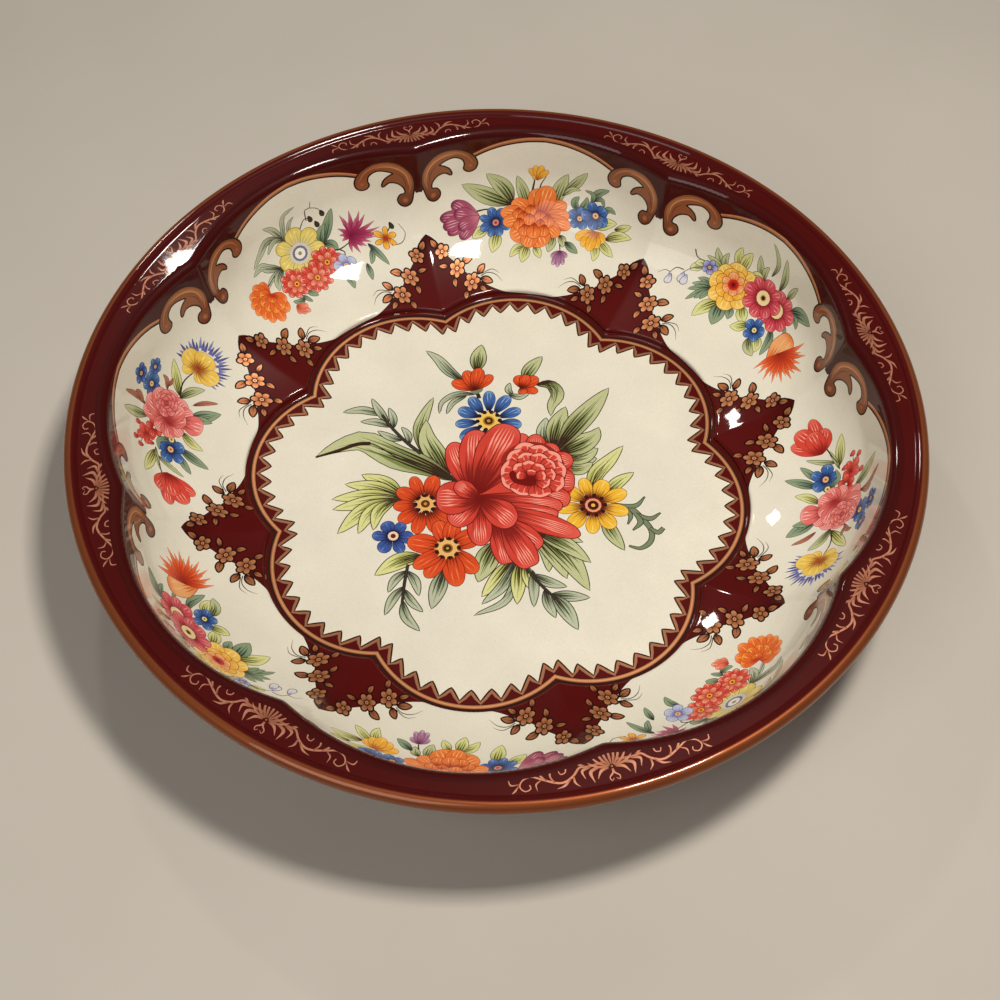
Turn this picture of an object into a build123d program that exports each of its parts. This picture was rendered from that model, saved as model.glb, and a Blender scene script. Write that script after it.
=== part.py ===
from build123d import *
import math
import os

# A round pressed tinplate dish in millimetres, +Z up, standing on Z = 0 with its axis on Z.
# Its eight lobes are alike: each is turned about an upright axis of its own, and those eight
# axes stand on one circle. The coats are thin solids that lie on the sheet, face to face, and
# the flat base is left bare, so the sheet itself stands on Z = 0.

# Driving dimensions
DISH_DIAMETER = 256.0
RIM_HEIGHT = 42.0
LOBES = 8
LOBE_AXIS_RADIUS = 45.6
FACE_COAT = 0.15
SHEET = 0.45
BACK_COAT = 0.10

# Depths below the face of the dish, and the heights that follow from them
SHEET_TOP = FACE_COAT
SHEET_UNDERSIDE = FACE_COAT + SHEET
LACQUER_UNDERSIDE = FACE_COAT + SHEET + BACK_COAT
WELL_Z = SHEET_UNDERSIDE
RIM_Z = WELL_Z + RIM_HEIGHT
LACQUER_FOOT_Z = 1.2

# The section of one lobe, out from the lobe's own axis: a recessed well, then a wall that starts
# at the foot angle, bends gently to the waist angle and then tightly to the wall angle
WELL_LOBE_RADIUS = 35.5
WELL_DEPTH = 2.2
FOOT_LOBE_RADIUS = 35.0
FOOT_ANGLE = 15.0
WAIST_ANGLE = 27.0
WALL_ANGLE = 76.0
LOWER_WALL_RADIUS = 92.0
UPPER_WALL_RADIUS = 29.5

# Bends, as radii on the face of the dish
RIDGE_BEND = 5.0
SHOULDER_BEND = 3.0
WELL_CORNER_BEND = 3.0
WELL_FOOT_BEND = 1.1
WELL_LIP_BEND = 1.0

# The rolled edge: its crown stands a little above the rim
BEAD_RADIUS = 2.25
BEAD_RISE = 1.1
CREASE_BEND = 0.9
CURL_END_ANGLE = 215.0
COAT_END_ANGLE = -90.0
PRESSING_RADIUS = DISH_DIAMETER / 2 - 2 * BEAD_RADIUS - 0.4
BEAD_X = DISH_DIAMETER / 2 - BEAD_RADIUS
BEAD_Z = RIM_Z + BEAD_RISE - BEAD_RADIUS

# Printed fields, seen from above
MEDALLION_INNER_LOBE = 30.5
MEDALLION_OUTER_LOBE = 36.2
STAR_TIP_RADIUS = 98.0
STAR_FOOT_RADIUS = 85.0
STAR_HALF_WIDTH = 18.0
PANEL_AXIS_RADIUS = 62.0
PANEL_LOBE_RADIUS = 53.8

STAR_START = 180.0 / LOBES
BLOCK_TOP = RIM_Z + 10.0
CLEAR = 5.0
WELL_SPREAD = LOBE_AXIS_RADIUS + WELL_LOBE_RADIUS + CLEAR


def arc_end(start, angle_from, angle_to, radius):
    """Where an arc ends that turns from one slope to another."""
    a = math.radians(angle_from)
    b = math.radians(angle_to)
    return start[0] + radius * (math.sin(b) - math.sin(a)), start[1] + radius * (math.cos(a) - math.cos(b))


def sunk(point, angle, depth):
    """A point of the face, moved square into the sheet where the face has this slope."""
    a = math.radians(angle)
    return point[0] + depth * math.sin(a), point[1] - depth * math.cos(a)


def lobed_outline(axis_radius, lobe_radius):
    """Eight equal circles and the middle that they leave, in the sketch that is being drawn."""
    Circle(axis_radius)
    with PolarLocations(axis_radius, LOBES):
        Circle(lobe_radius)


def is_ridge(edge):
    """True on a climbing edge that stands over a star axis, outside the lobes' own axes."""
    middle = edge.center()
    turn = math.degrees(math.atan2(middle.Y, middle.X)) % (360 / LOBES)
    climbs = abs(edge.tangent_at(0.5).Z) > 0.1
    return climbs and abs(turn - STAR_START) < 0.5 and math.hypot(middle.X, middle.Y) > LOBE_AXIS_RADIUS + 1


def space_above(depth):
    """Everything above the face of the dish, after the face is sunk by a depth."""
    foot = (FOOT_LOBE_RADIUS, WELL_Z + WELL_DEPTH)
    waist = arc_end(foot, FOOT_ANGLE, WAIST_ANGLE, LOWER_WALL_RADIUS)
    brow = arc_end(waist, WAIST_ANGLE, WALL_ANGLE, UPPER_WALL_RADIUS)
    foot = sunk(foot, FOOT_ANGLE, depth)
    waist = sunk(waist, WAIST_ANGLE, depth)
    brow = sunk(brow, WALL_ANGLE, depth)
    wall_top = (brow[0] + (BLOCK_TOP - brow[1]) / math.tan(math.radians(WALL_ANGLE)), BLOCK_TOP)
    foot_direction = (math.cos(math.radians(FOOT_ANGLE)), math.sin(math.radians(FOOT_ANGLE)))

    with BuildPart() as lobe:
        with BuildSketch(Plane.XZ):
            with BuildLine():
                Polyline((0, BLOCK_TOP), (0, foot[1]), foot)
                lower_wall = TangentArc(foot, waist, tangent=foot_direction)
                TangentArc(waist, brow, tangent=lower_wall % 1)
                Polyline(brow, wall_top, (0, BLOCK_TOP))
            make_face()
        revolve(axis=Axis.Z)

    with BuildPart() as space:
        with PolarLocations(LOBE_AXIS_RADIUS, LOBES):
            add(lobe.part)
        with Locations((0, 0, foot[1])):
            Cylinder(LOBE_AXIS_RADIUS, BLOCK_TOP - foot[1], align=(Align.CENTER, Align.CENTER, Align.MIN))
        # The edges between two lobes stand on the star axes and climb
        ridges = space.edges().filter_by(is_ridge)
        fillet(ridges, RIDGE_BEND - depth)

        rim_level = RIM_Z - depth
        with Locations((0, 0, rim_level)):
            Cylinder(PRESSING_RADIUS, BLOCK_TOP - rim_level, align=(Align.CENTER, Align.CENTER, Align.MIN))
        at_rim = space.edges().filter_by_position(Axis.Z, rim_level - 0.01, rim_level + 0.01)
        fillet(at_rim.sort_by(SortBy.LENGTH)[:-1], SHOULDER_BEND - depth)

        well_level = WELL_Z - depth
        with BuildSketch(Plane.XY.offset(well_level)):
            lobed_outline(LOBE_AXIS_RADIUS, WELL_LOBE_RADIUS + depth)
            corners = vertices().filter_by(lambda v: math.hypot(v.X, v.Y) > LOBE_AXIS_RADIUS + 1)
            fillet(corners, WELL_CORNER_BEND - depth)
        extrude(amount=WELL_DEPTH + CLEAR)
        well_feet = space.edges().filter_by_position(Axis.Z, well_level - 0.01, well_level + 0.01)
        fillet(well_feet, WELL_FOOT_BEND + depth)
        upright = space.faces().filter_by(GeomType.CYLINDER)
        risers = upright.filter_by(lambda face: face.bounding_box().max.Z < WELL_Z + CLEAR)
        lips = [riser.edges().sort_by(Axis.Z)[-1] for riser in risers]
        fillet(lips, WELL_LIP_BEND - depth)
    return space.part


def curl_outline(depth):
    """The rim and the rolled edge in section, sunk by a depth, in the sketch that is being drawn."""
    level = RIM_Z - depth
    with Locations((PRESSING_RADIUS, level)):
        Rectangle(BEAD_X - PRESSING_RADIUS, SHEET_UNDERSIDE - depth, align=(Align.MIN, Align.MAX))
    with Locations((BEAD_X, BEAD_Z)):
        Circle(BEAD_RADIUS - depth)
    crease = vertices().filter_by_position(Axis.Y, level - 0.01, level + 0.01).sort_by(Axis.X)[-1]
    fillet(crease, CREASE_BEND + depth)


def cut_below_rim(end_angle):
    """Take away what lies under the rim, as far round the bead as an angle, in the same sketch."""
    mouth = RIM_Z - SHEET_UNDERSIDE
    reach = 2 * BEAD_RADIUS
    a = math.radians(end_angle)
    Polygon(
        (BEAD_X, mouth),
        (BEAD_X - reach, mouth),
        (BEAD_X - reach, BEAD_Z + min(0.0, reach * math.sin(a))),
        (BEAD_X + reach * math.cos(a), BEAD_Z + reach * math.sin(a)),
        (BEAD_X, BEAD_Z),
        align=None,
        mode=Mode.SUBTRACT,
    )


def field_over_face(outline):
    """A printed field as an upright block, so that it picks its own part out of the coat."""
    with BuildPart() as block:
        with BuildSketch():
            add(outline)
        extrude(amount=BLOCK_TOP)
    return block.part


# Construction solids

os.makedirs("parts", exist_ok=True)

face_space = space_above(0.0)
sheet_space = space_above(SHEET_TOP)
underside_space = space_above(SHEET_UNDERSIDE)
ground_space = space_above(LACQUER_UNDERSIDE)

with BuildPart() as face_coat:
    add(sheet_space)
    add(face_space, mode=Mode.SUBTRACT)

with BuildSketch() as medallion_field:
    lobed_outline(LOBE_AXIS_RADIUS, MEDALLION_OUTER_LOBE)
    with PolarLocations(0, LOBES, start_angle=STAR_START):
        Polygon(
            (0, 0),
            (STAR_FOOT_RADIUS, -STAR_HALF_WIDTH),
            (STAR_TIP_RADIUS, 0),
            (STAR_FOOT_RADIUS, STAR_HALF_WIDTH),
            align=None,
        )

with BuildSketch() as well_field:
    lobed_outline(LOBE_AXIS_RADIUS, MEDALLION_INNER_LOBE)

with BuildSketch() as panel_field:
    lobed_outline(PANEL_AXIS_RADIUS, PANEL_LOBE_RADIUS)

medallion_block = field_over_face(medallion_field.sketch)
well_block = field_over_face(well_field.sketch)
panel_block = field_over_face(panel_field.sketch)

# The pressing, with the curl that turns over the wire and stops short of the rim's underside

with BuildPart() as dish_sheet:
    add(underside_space)
    add(sheet_space, mode=Mode.SUBTRACT)
    with BuildSketch(Plane.XZ):
        curl_outline(SHEET_TOP)
        with Locations((BEAD_X, BEAD_Z)):
            Circle(BEAD_RADIUS - SHEET_UNDERSIDE, mode=Mode.SUBTRACT)
        cut_below_rim(CURL_END_ANGLE)
    revolve(axis=Axis.Z)
dish_sheet.part.label = "dish_sheet"
export_step(dish_sheet.part, "parts/dish_sheet.step")

# The wire in the curl

with BuildPart() as rim_wire:
    with BuildSketch(Plane.XZ):
        with Locations((BEAD_X, BEAD_Z)):
            Circle(BEAD_RADIUS - SHEET_UNDERSIDE)
    revolve(axis=Axis.Z)
rim_wire.part.label = "rim_wire"
export_step(rim_wire.part, "parts/rim_wire.step")

# Coats on the face, one for each printed field

with BuildPart() as well_enamel:
    add(face_coat.part)
    add(well_block, mode=Mode.INTERSECT)
well_enamel.part.label = "well_enamel"
export_step(well_enamel.part, "parts/well_enamel.step")

with BuildPart() as medallion_enamel:
    add(face_coat.part)
    add(medallion_block, mode=Mode.INTERSECT)
    add(well_block, mode=Mode.SUBTRACT)
medallion_enamel.part.label = "medallion_enamel"
export_step(medallion_enamel.part, "parts/medallion_enamel.step")

with BuildPart() as panel_enamel:
    add(face_coat.part)
    add(panel_block, mode=Mode.INTERSECT)
    add(medallion_block, mode=Mode.SUBTRACT)
panel_enamel.part.label = "panel_enamel"
export_step(panel_enamel.part, "parts/panel_enamel.step")

with BuildPart() as border_enamel:
    add(face_coat.part)
    add(panel_block, mode=Mode.SUBTRACT)
    with BuildSketch(Plane.XZ):
        curl_outline(0.0)
        cut_below_rim(COAT_END_ANGLE)
        with Locations((BEAD_X, BEAD_Z)):
            Rectangle(CLEAR, 2 * CLEAR, align=(Align.MIN, Align.CENTER), mode=Mode.SUBTRACT)
    revolve(axis=Axis.Z)
    add(dish_sheet.part, mode=Mode.SUBTRACT)
    add(rim_wire.part, mode=Mode.SUBTRACT)
border_enamel.part.label = "border_enamel"
export_step(border_enamel.part, "parts/border_enamel.step")

with BuildPart() as edge_enamel:
    with BuildSketch(Plane.XZ):
        curl_outline(0.0)
        cut_below_rim(COAT_END_ANGLE)
        with Locations((BEAD_X, BEAD_Z)):
            Rectangle(2 * CLEAR, 2 * CLEAR, align=(Align.MAX, Align.CENTER), mode=Mode.SUBTRACT)
    revolve(axis=Axis.Z)
    add(dish_sheet.part, mode=Mode.SUBTRACT)
    add(rim_wire.part, mode=Mode.SUBTRACT)
edge_enamel.part.label = "edge_enamel"
export_step(edge_enamel.part, "parts/edge_enamel.step")

# The coat on the underside, from just above the base out to the rim

with BuildPart() as back_lacquer:
    add(ground_space)
    add(underside_space, mode=Mode.SUBTRACT)
    with Locations((0, 0, LACQUER_FOOT_Z)):
        Cylinder(WELL_SPREAD, CLEAR, align=(Align.CENTER, Align.CENTER, Align.MAX), mode=Mode.SUBTRACT)
back_lacquer.part.label = "back_lacquer"
export_step(back_lacquer.part, "parts/back_lacquer.step")
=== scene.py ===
"""A pressed tin dish with printed flowers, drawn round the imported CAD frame.

The print is laid out flat, as polygons in millimetres, cut into one triangle mesh for each piece
and then pressed: every corner is lifted on to the lobed face of the dish.
"""
import math

import bpy
import numpy as np
from mathutils import Matrix, Vector
from mathutils.geometry import delaunay_2d_cdt


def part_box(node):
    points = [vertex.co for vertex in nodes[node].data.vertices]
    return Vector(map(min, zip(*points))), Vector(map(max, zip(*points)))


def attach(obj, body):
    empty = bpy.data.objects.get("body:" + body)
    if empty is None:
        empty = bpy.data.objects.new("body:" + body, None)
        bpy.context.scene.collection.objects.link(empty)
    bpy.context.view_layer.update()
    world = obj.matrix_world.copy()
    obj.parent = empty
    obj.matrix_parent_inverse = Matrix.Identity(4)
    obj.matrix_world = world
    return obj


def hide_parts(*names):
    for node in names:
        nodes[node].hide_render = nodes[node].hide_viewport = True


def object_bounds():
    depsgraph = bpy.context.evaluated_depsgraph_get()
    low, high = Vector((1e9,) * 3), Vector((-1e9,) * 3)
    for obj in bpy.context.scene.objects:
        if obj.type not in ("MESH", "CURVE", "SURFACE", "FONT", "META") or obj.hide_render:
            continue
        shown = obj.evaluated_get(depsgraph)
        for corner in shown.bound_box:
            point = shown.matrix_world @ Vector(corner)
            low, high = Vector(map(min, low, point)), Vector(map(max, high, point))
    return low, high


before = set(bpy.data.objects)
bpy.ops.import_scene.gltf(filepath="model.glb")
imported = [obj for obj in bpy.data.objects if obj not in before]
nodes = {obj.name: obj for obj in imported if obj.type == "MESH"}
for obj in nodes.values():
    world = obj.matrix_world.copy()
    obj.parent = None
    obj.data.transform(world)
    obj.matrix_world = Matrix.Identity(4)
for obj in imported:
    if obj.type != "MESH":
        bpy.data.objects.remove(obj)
cad_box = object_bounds()

MM = 0.001

# Sizes read from the frame, in millimetres
DISH_RADIUS = cad_box[1][0] / MM
WELL_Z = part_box("well_enamel")[1][2] / MM
CROWN_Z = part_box("edge_enamel")[1][2] / MM
BEAD_RADIUS = (CROWN_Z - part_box("edge_enamel")[0][2] / MM) / 2

# The pressing, as the CAD draws it
LOBES = 8
SECTOR = 360.0 / LOBES
LOBE_AXIS = 45.6
RIM_DROP = 1.1
RIM_Z = CROWN_Z - RIM_DROP
RIM_GAP = 0.4
RING_RHO = 34.0
WELL_RHO = 35.5
FOOT_RHO = 35.0
FOOT_RISE = 2.2
FOOT_ANGLE, WAIST_ANGLE, WALL_ANGLE = 15.0, 27.0, 76.0
LOWER_WALL, UPPER_WALL = 92.0, 29.5
FOOT_BEND, LIP_BEND, SHOULDER_BEND = 1.1, 1.0, 3.0
RIDGE_SOFTNESS = 0.55

# One degree of turn is this wide on the flat layout of the wall
DEGREE = 1.745
HALF = SECTOR / 2 * DEGREE


# ---------------------------------------------------------------- the pressed face

def arc(centre, radius, start, end, step=3.0):
    """Points on an arc, by its compass angles in degrees."""
    count = max(2, int(abs(end - start) / step) + 1)
    return [(centre[0] + radius * math.cos(math.radians(a)), centre[1] + radius * math.sin(math.radians(a)))
            for a in np.linspace(start, end, count)]


def turned(start, angle_from, angle_to, radius):
    """The points of an arc that leaves a point at one slope and bends up to another."""
    a0 = math.radians(angle_from)
    return [(start[0] + radius * (math.sin(a) - math.sin(a0)),
             start[1] + radius * (math.cos(a0) - math.cos(a)))
            for a in np.radians(np.linspace(angle_from, angle_to, 40))]


def wall_section():
    """The section of one lobe, out from its axis and up from the well, ending level at the rim."""
    rise = RIM_Z - WELL_Z
    foot_slope = math.radians(FOOT_ANGLE)
    wall_slope = math.radians(WALL_ANGLE)
    points = [(RING_RHO, 0.0)]
    points += arc((WELL_RHO - FOOT_BEND, FOOT_BEND), FOOT_BEND, -90, 0, 15)
    lip_x = WELL_RHO + LIP_BEND
    lip_z = FOOT_RISE + (lip_x - FOOT_RHO) * math.tan(foot_slope) - LIP_BEND / math.cos(foot_slope)
    points += arc((lip_x, lip_z), LIP_BEND, 180, 90 + FOOT_ANGLE, 15)
    lower = turned((FOOT_RHO, FOOT_RISE), FOOT_ANGLE, WAIST_ANGLE, LOWER_WALL)
    points += [p for p in lower if p[0] > points[-1][0] + 0.2]
    points += turned(lower[-1], WAIST_ANGLE, WALL_ANGLE, UPPER_WALL)[1:]
    brow = points[-1]
    touch_z = rise - SHOULDER_BEND + SHOULDER_BEND * math.cos(wall_slope)
    touch_x = brow[0] + (touch_z - brow[1]) / math.tan(wall_slope)
    shoulder = (touch_x + SHOULDER_BEND * math.sin(wall_slope), rise - SHOULDER_BEND)
    points += arc(shoulder, SHOULDER_BEND, 90 + WALL_ANGLE, 90, 5)
    points.append((shoulder[0] + 1.0, rise))
    return np.array(points)


SECTION = wall_section()
RUN = np.concatenate([[0.0], np.cumsum(np.hypot(*np.diff(SECTION, axis=0).T))])
WALL_TOP = RUN[-1]
FLANGE_RHO = SECTION[-1][0]
FLANGE_END = DISH_RADIUS - 2 * BEAD_RADIUS - RIM_GAP


def lobe_reach(rho, degrees):
    """How far from the dish's centre a lobe of this radius reaches, off its own axis by an angle."""
    off = np.abs((degrees + SECTOR / 2) % SECTOR - SECTOR / 2)
    gap = SECTOR / 2 - off
    off = np.radians(SECTOR / 2 - np.sqrt(gap ** 2 + RIDGE_SOFTNESS ** 2))
    return LOBE_AXIS * np.cos(off) + np.sqrt(rho ** 2 - (LOBE_AXIS * np.sin(off)) ** 2)


def press_wall(x, y, azimuth):
    """Lift flat wall coordinates on to the dish: x is along the wall, y climbs from the well."""
    degrees = x / DEGREE
    run = np.minimum(y, WALL_TOP)
    radius = lobe_reach(np.interp(run, RUN, SECTION[:, 0]), degrees) + np.maximum(y - WALL_TOP, 0)
    height = WELL_Z + np.interp(run, RUN, SECTION[:, 1])
    turn = np.radians(azimuth - degrees)
    return np.stack([radius * np.cos(turn), radius * np.sin(turn), height], -1)


def press_well(x, y, azimuth):
    """The well is flat: its layout is the plan itself."""
    return np.stack([x, y, np.full(np.shape(x), WELL_Z)], -1)


def face_normals(press, x, y, azimuth):
    """The face's own normals, from small steps along the layout."""
    step = 0.02
    across = press(x + step, y, azimuth) - press(x - step, y, azimuth)
    along = press(x, y + step, azimuth) - press(x, y - step, azimuth)
    normal = np.cross(across, along)
    normal /= np.linalg.norm(normal, axis=1, keepdims=True)
    return normal * np.where(normal[:, 2:] < 0, -1.0, 1.0)


# ---------------------------------------------------------------- drawing on the flat

def ink(red, green, blue, metal=0.0):
    """A printing ink from its 0 to 255 screen values, as linear colour and how metallic it is."""
    share = np.array([red, green, blue]) / 255.0
    return np.append(np.where(share <= 0.04045, share / 12.92, ((share + 0.055) / 1.055) ** 2.4), metal)


def curve(points, closed=False, spacing=0.8):
    """A smooth line through the points."""
    p = np.array(points, float)
    p = np.vstack([p[-1], p, p[:2]]) if closed else np.vstack([2 * p[0] - p[1], p, 2 * p[-1] - p[-2]])
    line = []
    for a, b, c, d in zip(p, p[1:], p[2:], p[3:]):
        count = max(2, int(math.ceil(math.hypot(*(c - b)) / spacing)))
        t = np.linspace(0, 1, count, endpoint=False)[:, None]
        line.append(0.5 * (2 * b + (c - a) * t + (2 * a - 5 * b + 4 * c - d) * t ** 2
                           + (3 * b - a - 3 * c + d) * t ** 3))
    if not closed:
        line.append(p[-2:-1])
    return np.vstack(line)


def even(line, count):
    """The same line, as a number of evenly spaced points."""
    run = np.concatenate([[0], np.cumsum(np.hypot(*np.diff(line, axis=0).T))])
    at = np.linspace(0, run[-1], count)
    return np.stack([np.interp(at, run, line[:, 0]), np.interp(at, run, line[:, 1])], 1)


def sides(line):
    """Unit vectors to the left of a line, at each of its points."""
    along = np.gradient(line, axis=0)
    along /= np.maximum(np.hypot(*along.T), 1e-9)[:, None]
    return np.stack([-along[:, 1], along[:, 0]], 1)


def ramp(start, end, *stops):
    """A colour that changes along a line, by stops of share and ink."""
    start, way = np.array(start, float), np.array(end, float) - np.array(start, float)
    shares = [s[0] for s in stops]
    inks = np.array([s[1] for s in stops])

    def paint(p):
        share = ((p - start) @ way) / max(way @ way, 1e-9)
        return np.stack([np.interp(share, shares, inks[:, k]) for k in range(4)], 1)
    return paint


def plain(colour):
    """The same ink everywhere."""
    return lambda p: np.repeat(colour[None, :], len(p), 0)


def divided(outline, longest=1.0):
    """An outline with points added on its long sides, so that the pressed print bends along them."""
    parts = []
    for start, end in zip(outline, np.roll(outline, -1, 0)):
        count = max(1, math.ceil(math.dist(start, end) / longest))
        parts.append(start + (end - start) * np.arange(count)[:, None] / count)
    return np.concatenate(parts)


def covers(outline, x, y):
    """Which points a closed outline winds round; the points come sorted by y."""
    turns = np.zeros(len(x), int)
    for start, end in zip(outline, np.roll(outline, -1, 0)):
        part = slice(*np.searchsorted(y, sorted((start[1], end[1]))))
        left = (end[0] - start[0]) * (y[part] - start[1]) - (x[part] - start[0]) * (end[1] - start[1])
        if end[1] > start[1]:
            turns[part] += left > 0
        else:
            turns[part] -= left < 0
    return turns != 0


SAME_PLACE = 1e-5  # points nearer than this, in millimetres, are one


class Sheet:
    """A flat layout that shapes are laid on in order, each hiding what is under it."""

    def __init__(self):
        self.shapes = []
        self.place = (np.eye(2), np.zeros(2))

    def put(self, x=0.0, y=0.0, turn=0.0, size=1.0, flip=False):
        """Where the next shapes go: their own origin, turn in degrees, scale and mirroring."""
        a = math.radians(turn)
        spin = np.array([[math.cos(a), -math.sin(a)], [math.sin(a), math.cos(a)]]) * size
        self.place = (spin @ np.diag([-1.0 if flip else 1.0, 1.0]), np.array([x, y], float))
        return self

    def shape(self, outline, paint):
        """A closed outline and its paint: an ink, or a function from points to inks."""
        spin, shift = self.place
        back = np.linalg.inv(spin)
        laid = np.asarray(outline, float) @ spin.T + shift
        twice = np.sum(laid[:, 0] * np.roll(laid[:, 1], -1) - laid[:, 1] * np.roll(laid[:, 0], -1))
        if twice < 0:
            laid = laid[::-1]
        if isinstance(paint, np.ndarray):
            paint = plain(paint)
        self.shapes.append((divided(laid), lambda p: paint((p - shift) @ back.T)))

    def cut(self, edge, grid):
        """One triangle mesh of the layout inside an edge: corners, triangles, each one's top shape."""
        points, fixed = [], []
        for outline in [edge] + [shape[0] for shape in self.shapes]:
            first, count = len(points), len(outline)
            fixed += [(first + k, first + (k + 1) % count) for k in range(count)]
            points += [Vector(p) for p in outline]
        points += [Vector(p) for p in grid]
        found = delaunay_2d_cdt(points, fixed, [], 0, SAME_PLACE, False)
        corners = np.array([tuple(v) for v in found[0]])
        triangles = np.array([tuple(face) for face in found[2]])
        middles = corners[triangles].mean(1)
        upward = np.argsort(middles[:, 1])
        triangles, x, y = triangles[upward], *middles[upward].T
        within = covers(np.array(edge), x, y)
        triangles, x, y = triangles[within], x[within], y[within]
        top = np.zeros(len(triangles), int)
        for k, (outline, _) in enumerate(self.shapes):
            rows = slice(*np.searchsorted(y, (outline[:, 1].min(), outline[:, 1].max())))
            top[rows][covers(outline, x[rows], y[rows])] = k + 1
        return corners, triangles, top


# ---------------------------------------------------------------- inks

CREAM = ink(226, 221, 204)
MAROON = ink(82, 11, 9)
DEEP = ink(36, 6, 5)
COPPER = ink(176, 112, 72, 0.35)
PALE_COPPER = ink(206, 148, 104, 0.35)
DARK_COPPER = ink(118, 62, 40, 0.3)
LINE = ink(44, 24, 16)
BARK = ink(58, 34, 20)


# ---------------------------------------------------------------- the printer's shapes

def grown(outline, by):
    """A closed outline, moved outwards."""
    outline = np.asarray(outline, float)
    area = np.sum(outline[:, 0] * np.roll(outline[:, 1], -1) - outline[:, 1] * np.roll(outline[:, 0], -1))
    along = np.roll(outline, -1, 0) - np.roll(outline, 1, 0)
    along /= np.maximum(np.hypot(*along.T), 1e-9)[:, None]
    out = np.stack([along[:, 1], -along[:, 0]], 1) * np.sign(area)
    return outline + out * by


def stroke(sheet, points, widths, paint, spacing=0.9):
    """A brush line along the points, whose width swells and tapers."""
    line = curve(points, spacing=spacing)
    half = np.interp(np.linspace(0, 1, len(line)), np.linspace(0, 1, len(widths)), widths) / 2
    side = sides(line) * half[:, None]
    outline = np.vstack([line + side, (line - side)[::-1]])
    keep = np.hypot(*(outline - np.roll(outline, 1, 0)).T) > 0.02
    sheet.shape(outline[keep], paint)


def fade(points, *stops):
    """A ramp from the first to the last of some points."""
    return ramp(points[0], points[-1], *stops)


def petal(sheet, base, tip, width, inks, full=0.62, notch=0.0, lines=3, shine=2, bend=0.0, rim=0.2,
          lip=0.0):
    """A petal from its base to its tip: an outline, a body that darkens to the base, and brush lines.

    inks are (root, body, edge, outline, light). A lip is a pale rolled edge, as a share of the length.
    """
    base, tip = np.array(base, float), np.array(tip, float)
    way = tip - base
    length = np.hypot(*way)
    side = np.array([-way[1], way[0]]) / length
    root, body, edge, outline, light = inks

    def at(u, v):
        return base + way * u + side * (v * width / 2 + bend * length * u * (1 - u))

    ring = curve([at(0, -0.16), at(full * 0.5, -0.74), at(full, -1), at(0.9, -0.68), at(1 - notch, 0),
                  at(0.9, 0.68), at(full, 1), at(full * 0.5, 0.74), at(0, 0.16)], True, max(0.35, width / 9))
    sheet.shape(grown(ring, rim), outline)
    sheet.shape(ring, ramp(base, tip, (0.05, root), (0.45, body), (0.8, body), (1, edge)))
    for k in range(lines):
        v = (k - (lines - 1) / 2) / max(lines, 1) * 1.35
        reach = 0.6 + 0.12 * math.cos(4 * k)
        path = [at(0.03, v * 0.2), at(0.3, v * 0.8), at(reach, v)]
        colour = fade(path, (0, root), (1, outline * 0.6 + body * 0.4))
        stroke(sheet, path, (width * 0.11, width * 0.07, 0.02), colour)
    for k in range(shine):
        v = (k - (shine - 1) / 2) / max(shine, 1) * 1.25
        reach = 0.46 + 0.08 * math.cos(3 * k)
        path = [at(0.93 - 0.07 * abs(v), v * 0.8), at(0.74, v * 0.9), at(reach, v * 0.62)]
        stroke(sheet, path, (0.04, width * 0.055, 0.02), fade(path, (0, light), (0.5, light), (1, body)))
    if lip:
        outer = curve([at(full + 0.12, -0.96), at(0.9, -0.66), at(1 - notch, 0), at(0.9, 0.66),
                       at(full + 0.12, 0.96)], spacing=width / 9)
        inner = curve([at(full + 0.1, 0.92), at(0.9 - lip, 0.52), at(1 - notch - lip, 0),
                       at(0.9 - lip, -0.52), at(full + 0.1, -0.92)], spacing=width / 9)
        sheet.shape(np.vstack([outer, inner]), light)


def flower(sheet, centre, radius, count, inks, width, turn=0.0, inner=0.2, lines=3, shine=2):
    """Petals round a centre, a little uneven in length, width and bend."""
    centre = np.array(centre, float)
    for k in range(count):
        a = math.radians(turn + 360.0 * k / count)
        way = np.array([math.cos(a), math.sin(a)])
        reach = radius * (1 + 0.07 * math.sin(5.1 * k + radius))
        petal(sheet, centre + way * radius * inner, centre + way * reach,
              width * (0.9 + 0.1 * math.cos(3.3 * k)), inks, lines=lines, shine=shine,
              bend=0.05 * math.sin(2.7 * k))


def eye(sheet, centre, radius, inks, dots=0, dot=0.16, rays=0):
    """A flower's centre: a ring of inks inwards, with dots round it and rays between them."""
    turns = np.radians(np.arange(0, 360, 30))
    for k in range(rays):
        a = 2 * math.pi * (k + 0.5) / rays + 0.2
        sheet.shape([(centre[0] + radius * r * math.cos(a + b), centre[1] + radius * r * math.sin(a + b))
                     for r, b in ((0.8, -0.22), (1.4, 0), (0.8, 0.22))], inks[0][1])
    for share, colour in inks:
        sheet.shape([(centre[0] + radius * share * math.cos(a), centre[1] + radius * share * math.sin(a))
                     for a in turns], colour)
    for k in range(dots):
        a = 2 * math.pi * k / dots + 0.2
        x, y = centre[0] + radius * 1.15 * math.cos(a), centre[1] + radius * 1.15 * math.sin(a)
        spot = [(x + radius * dot * math.cos(b), y + radius * dot * math.sin(b)) for b in turns[::2]]
        sheet.shape(spot, LINE)


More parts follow.
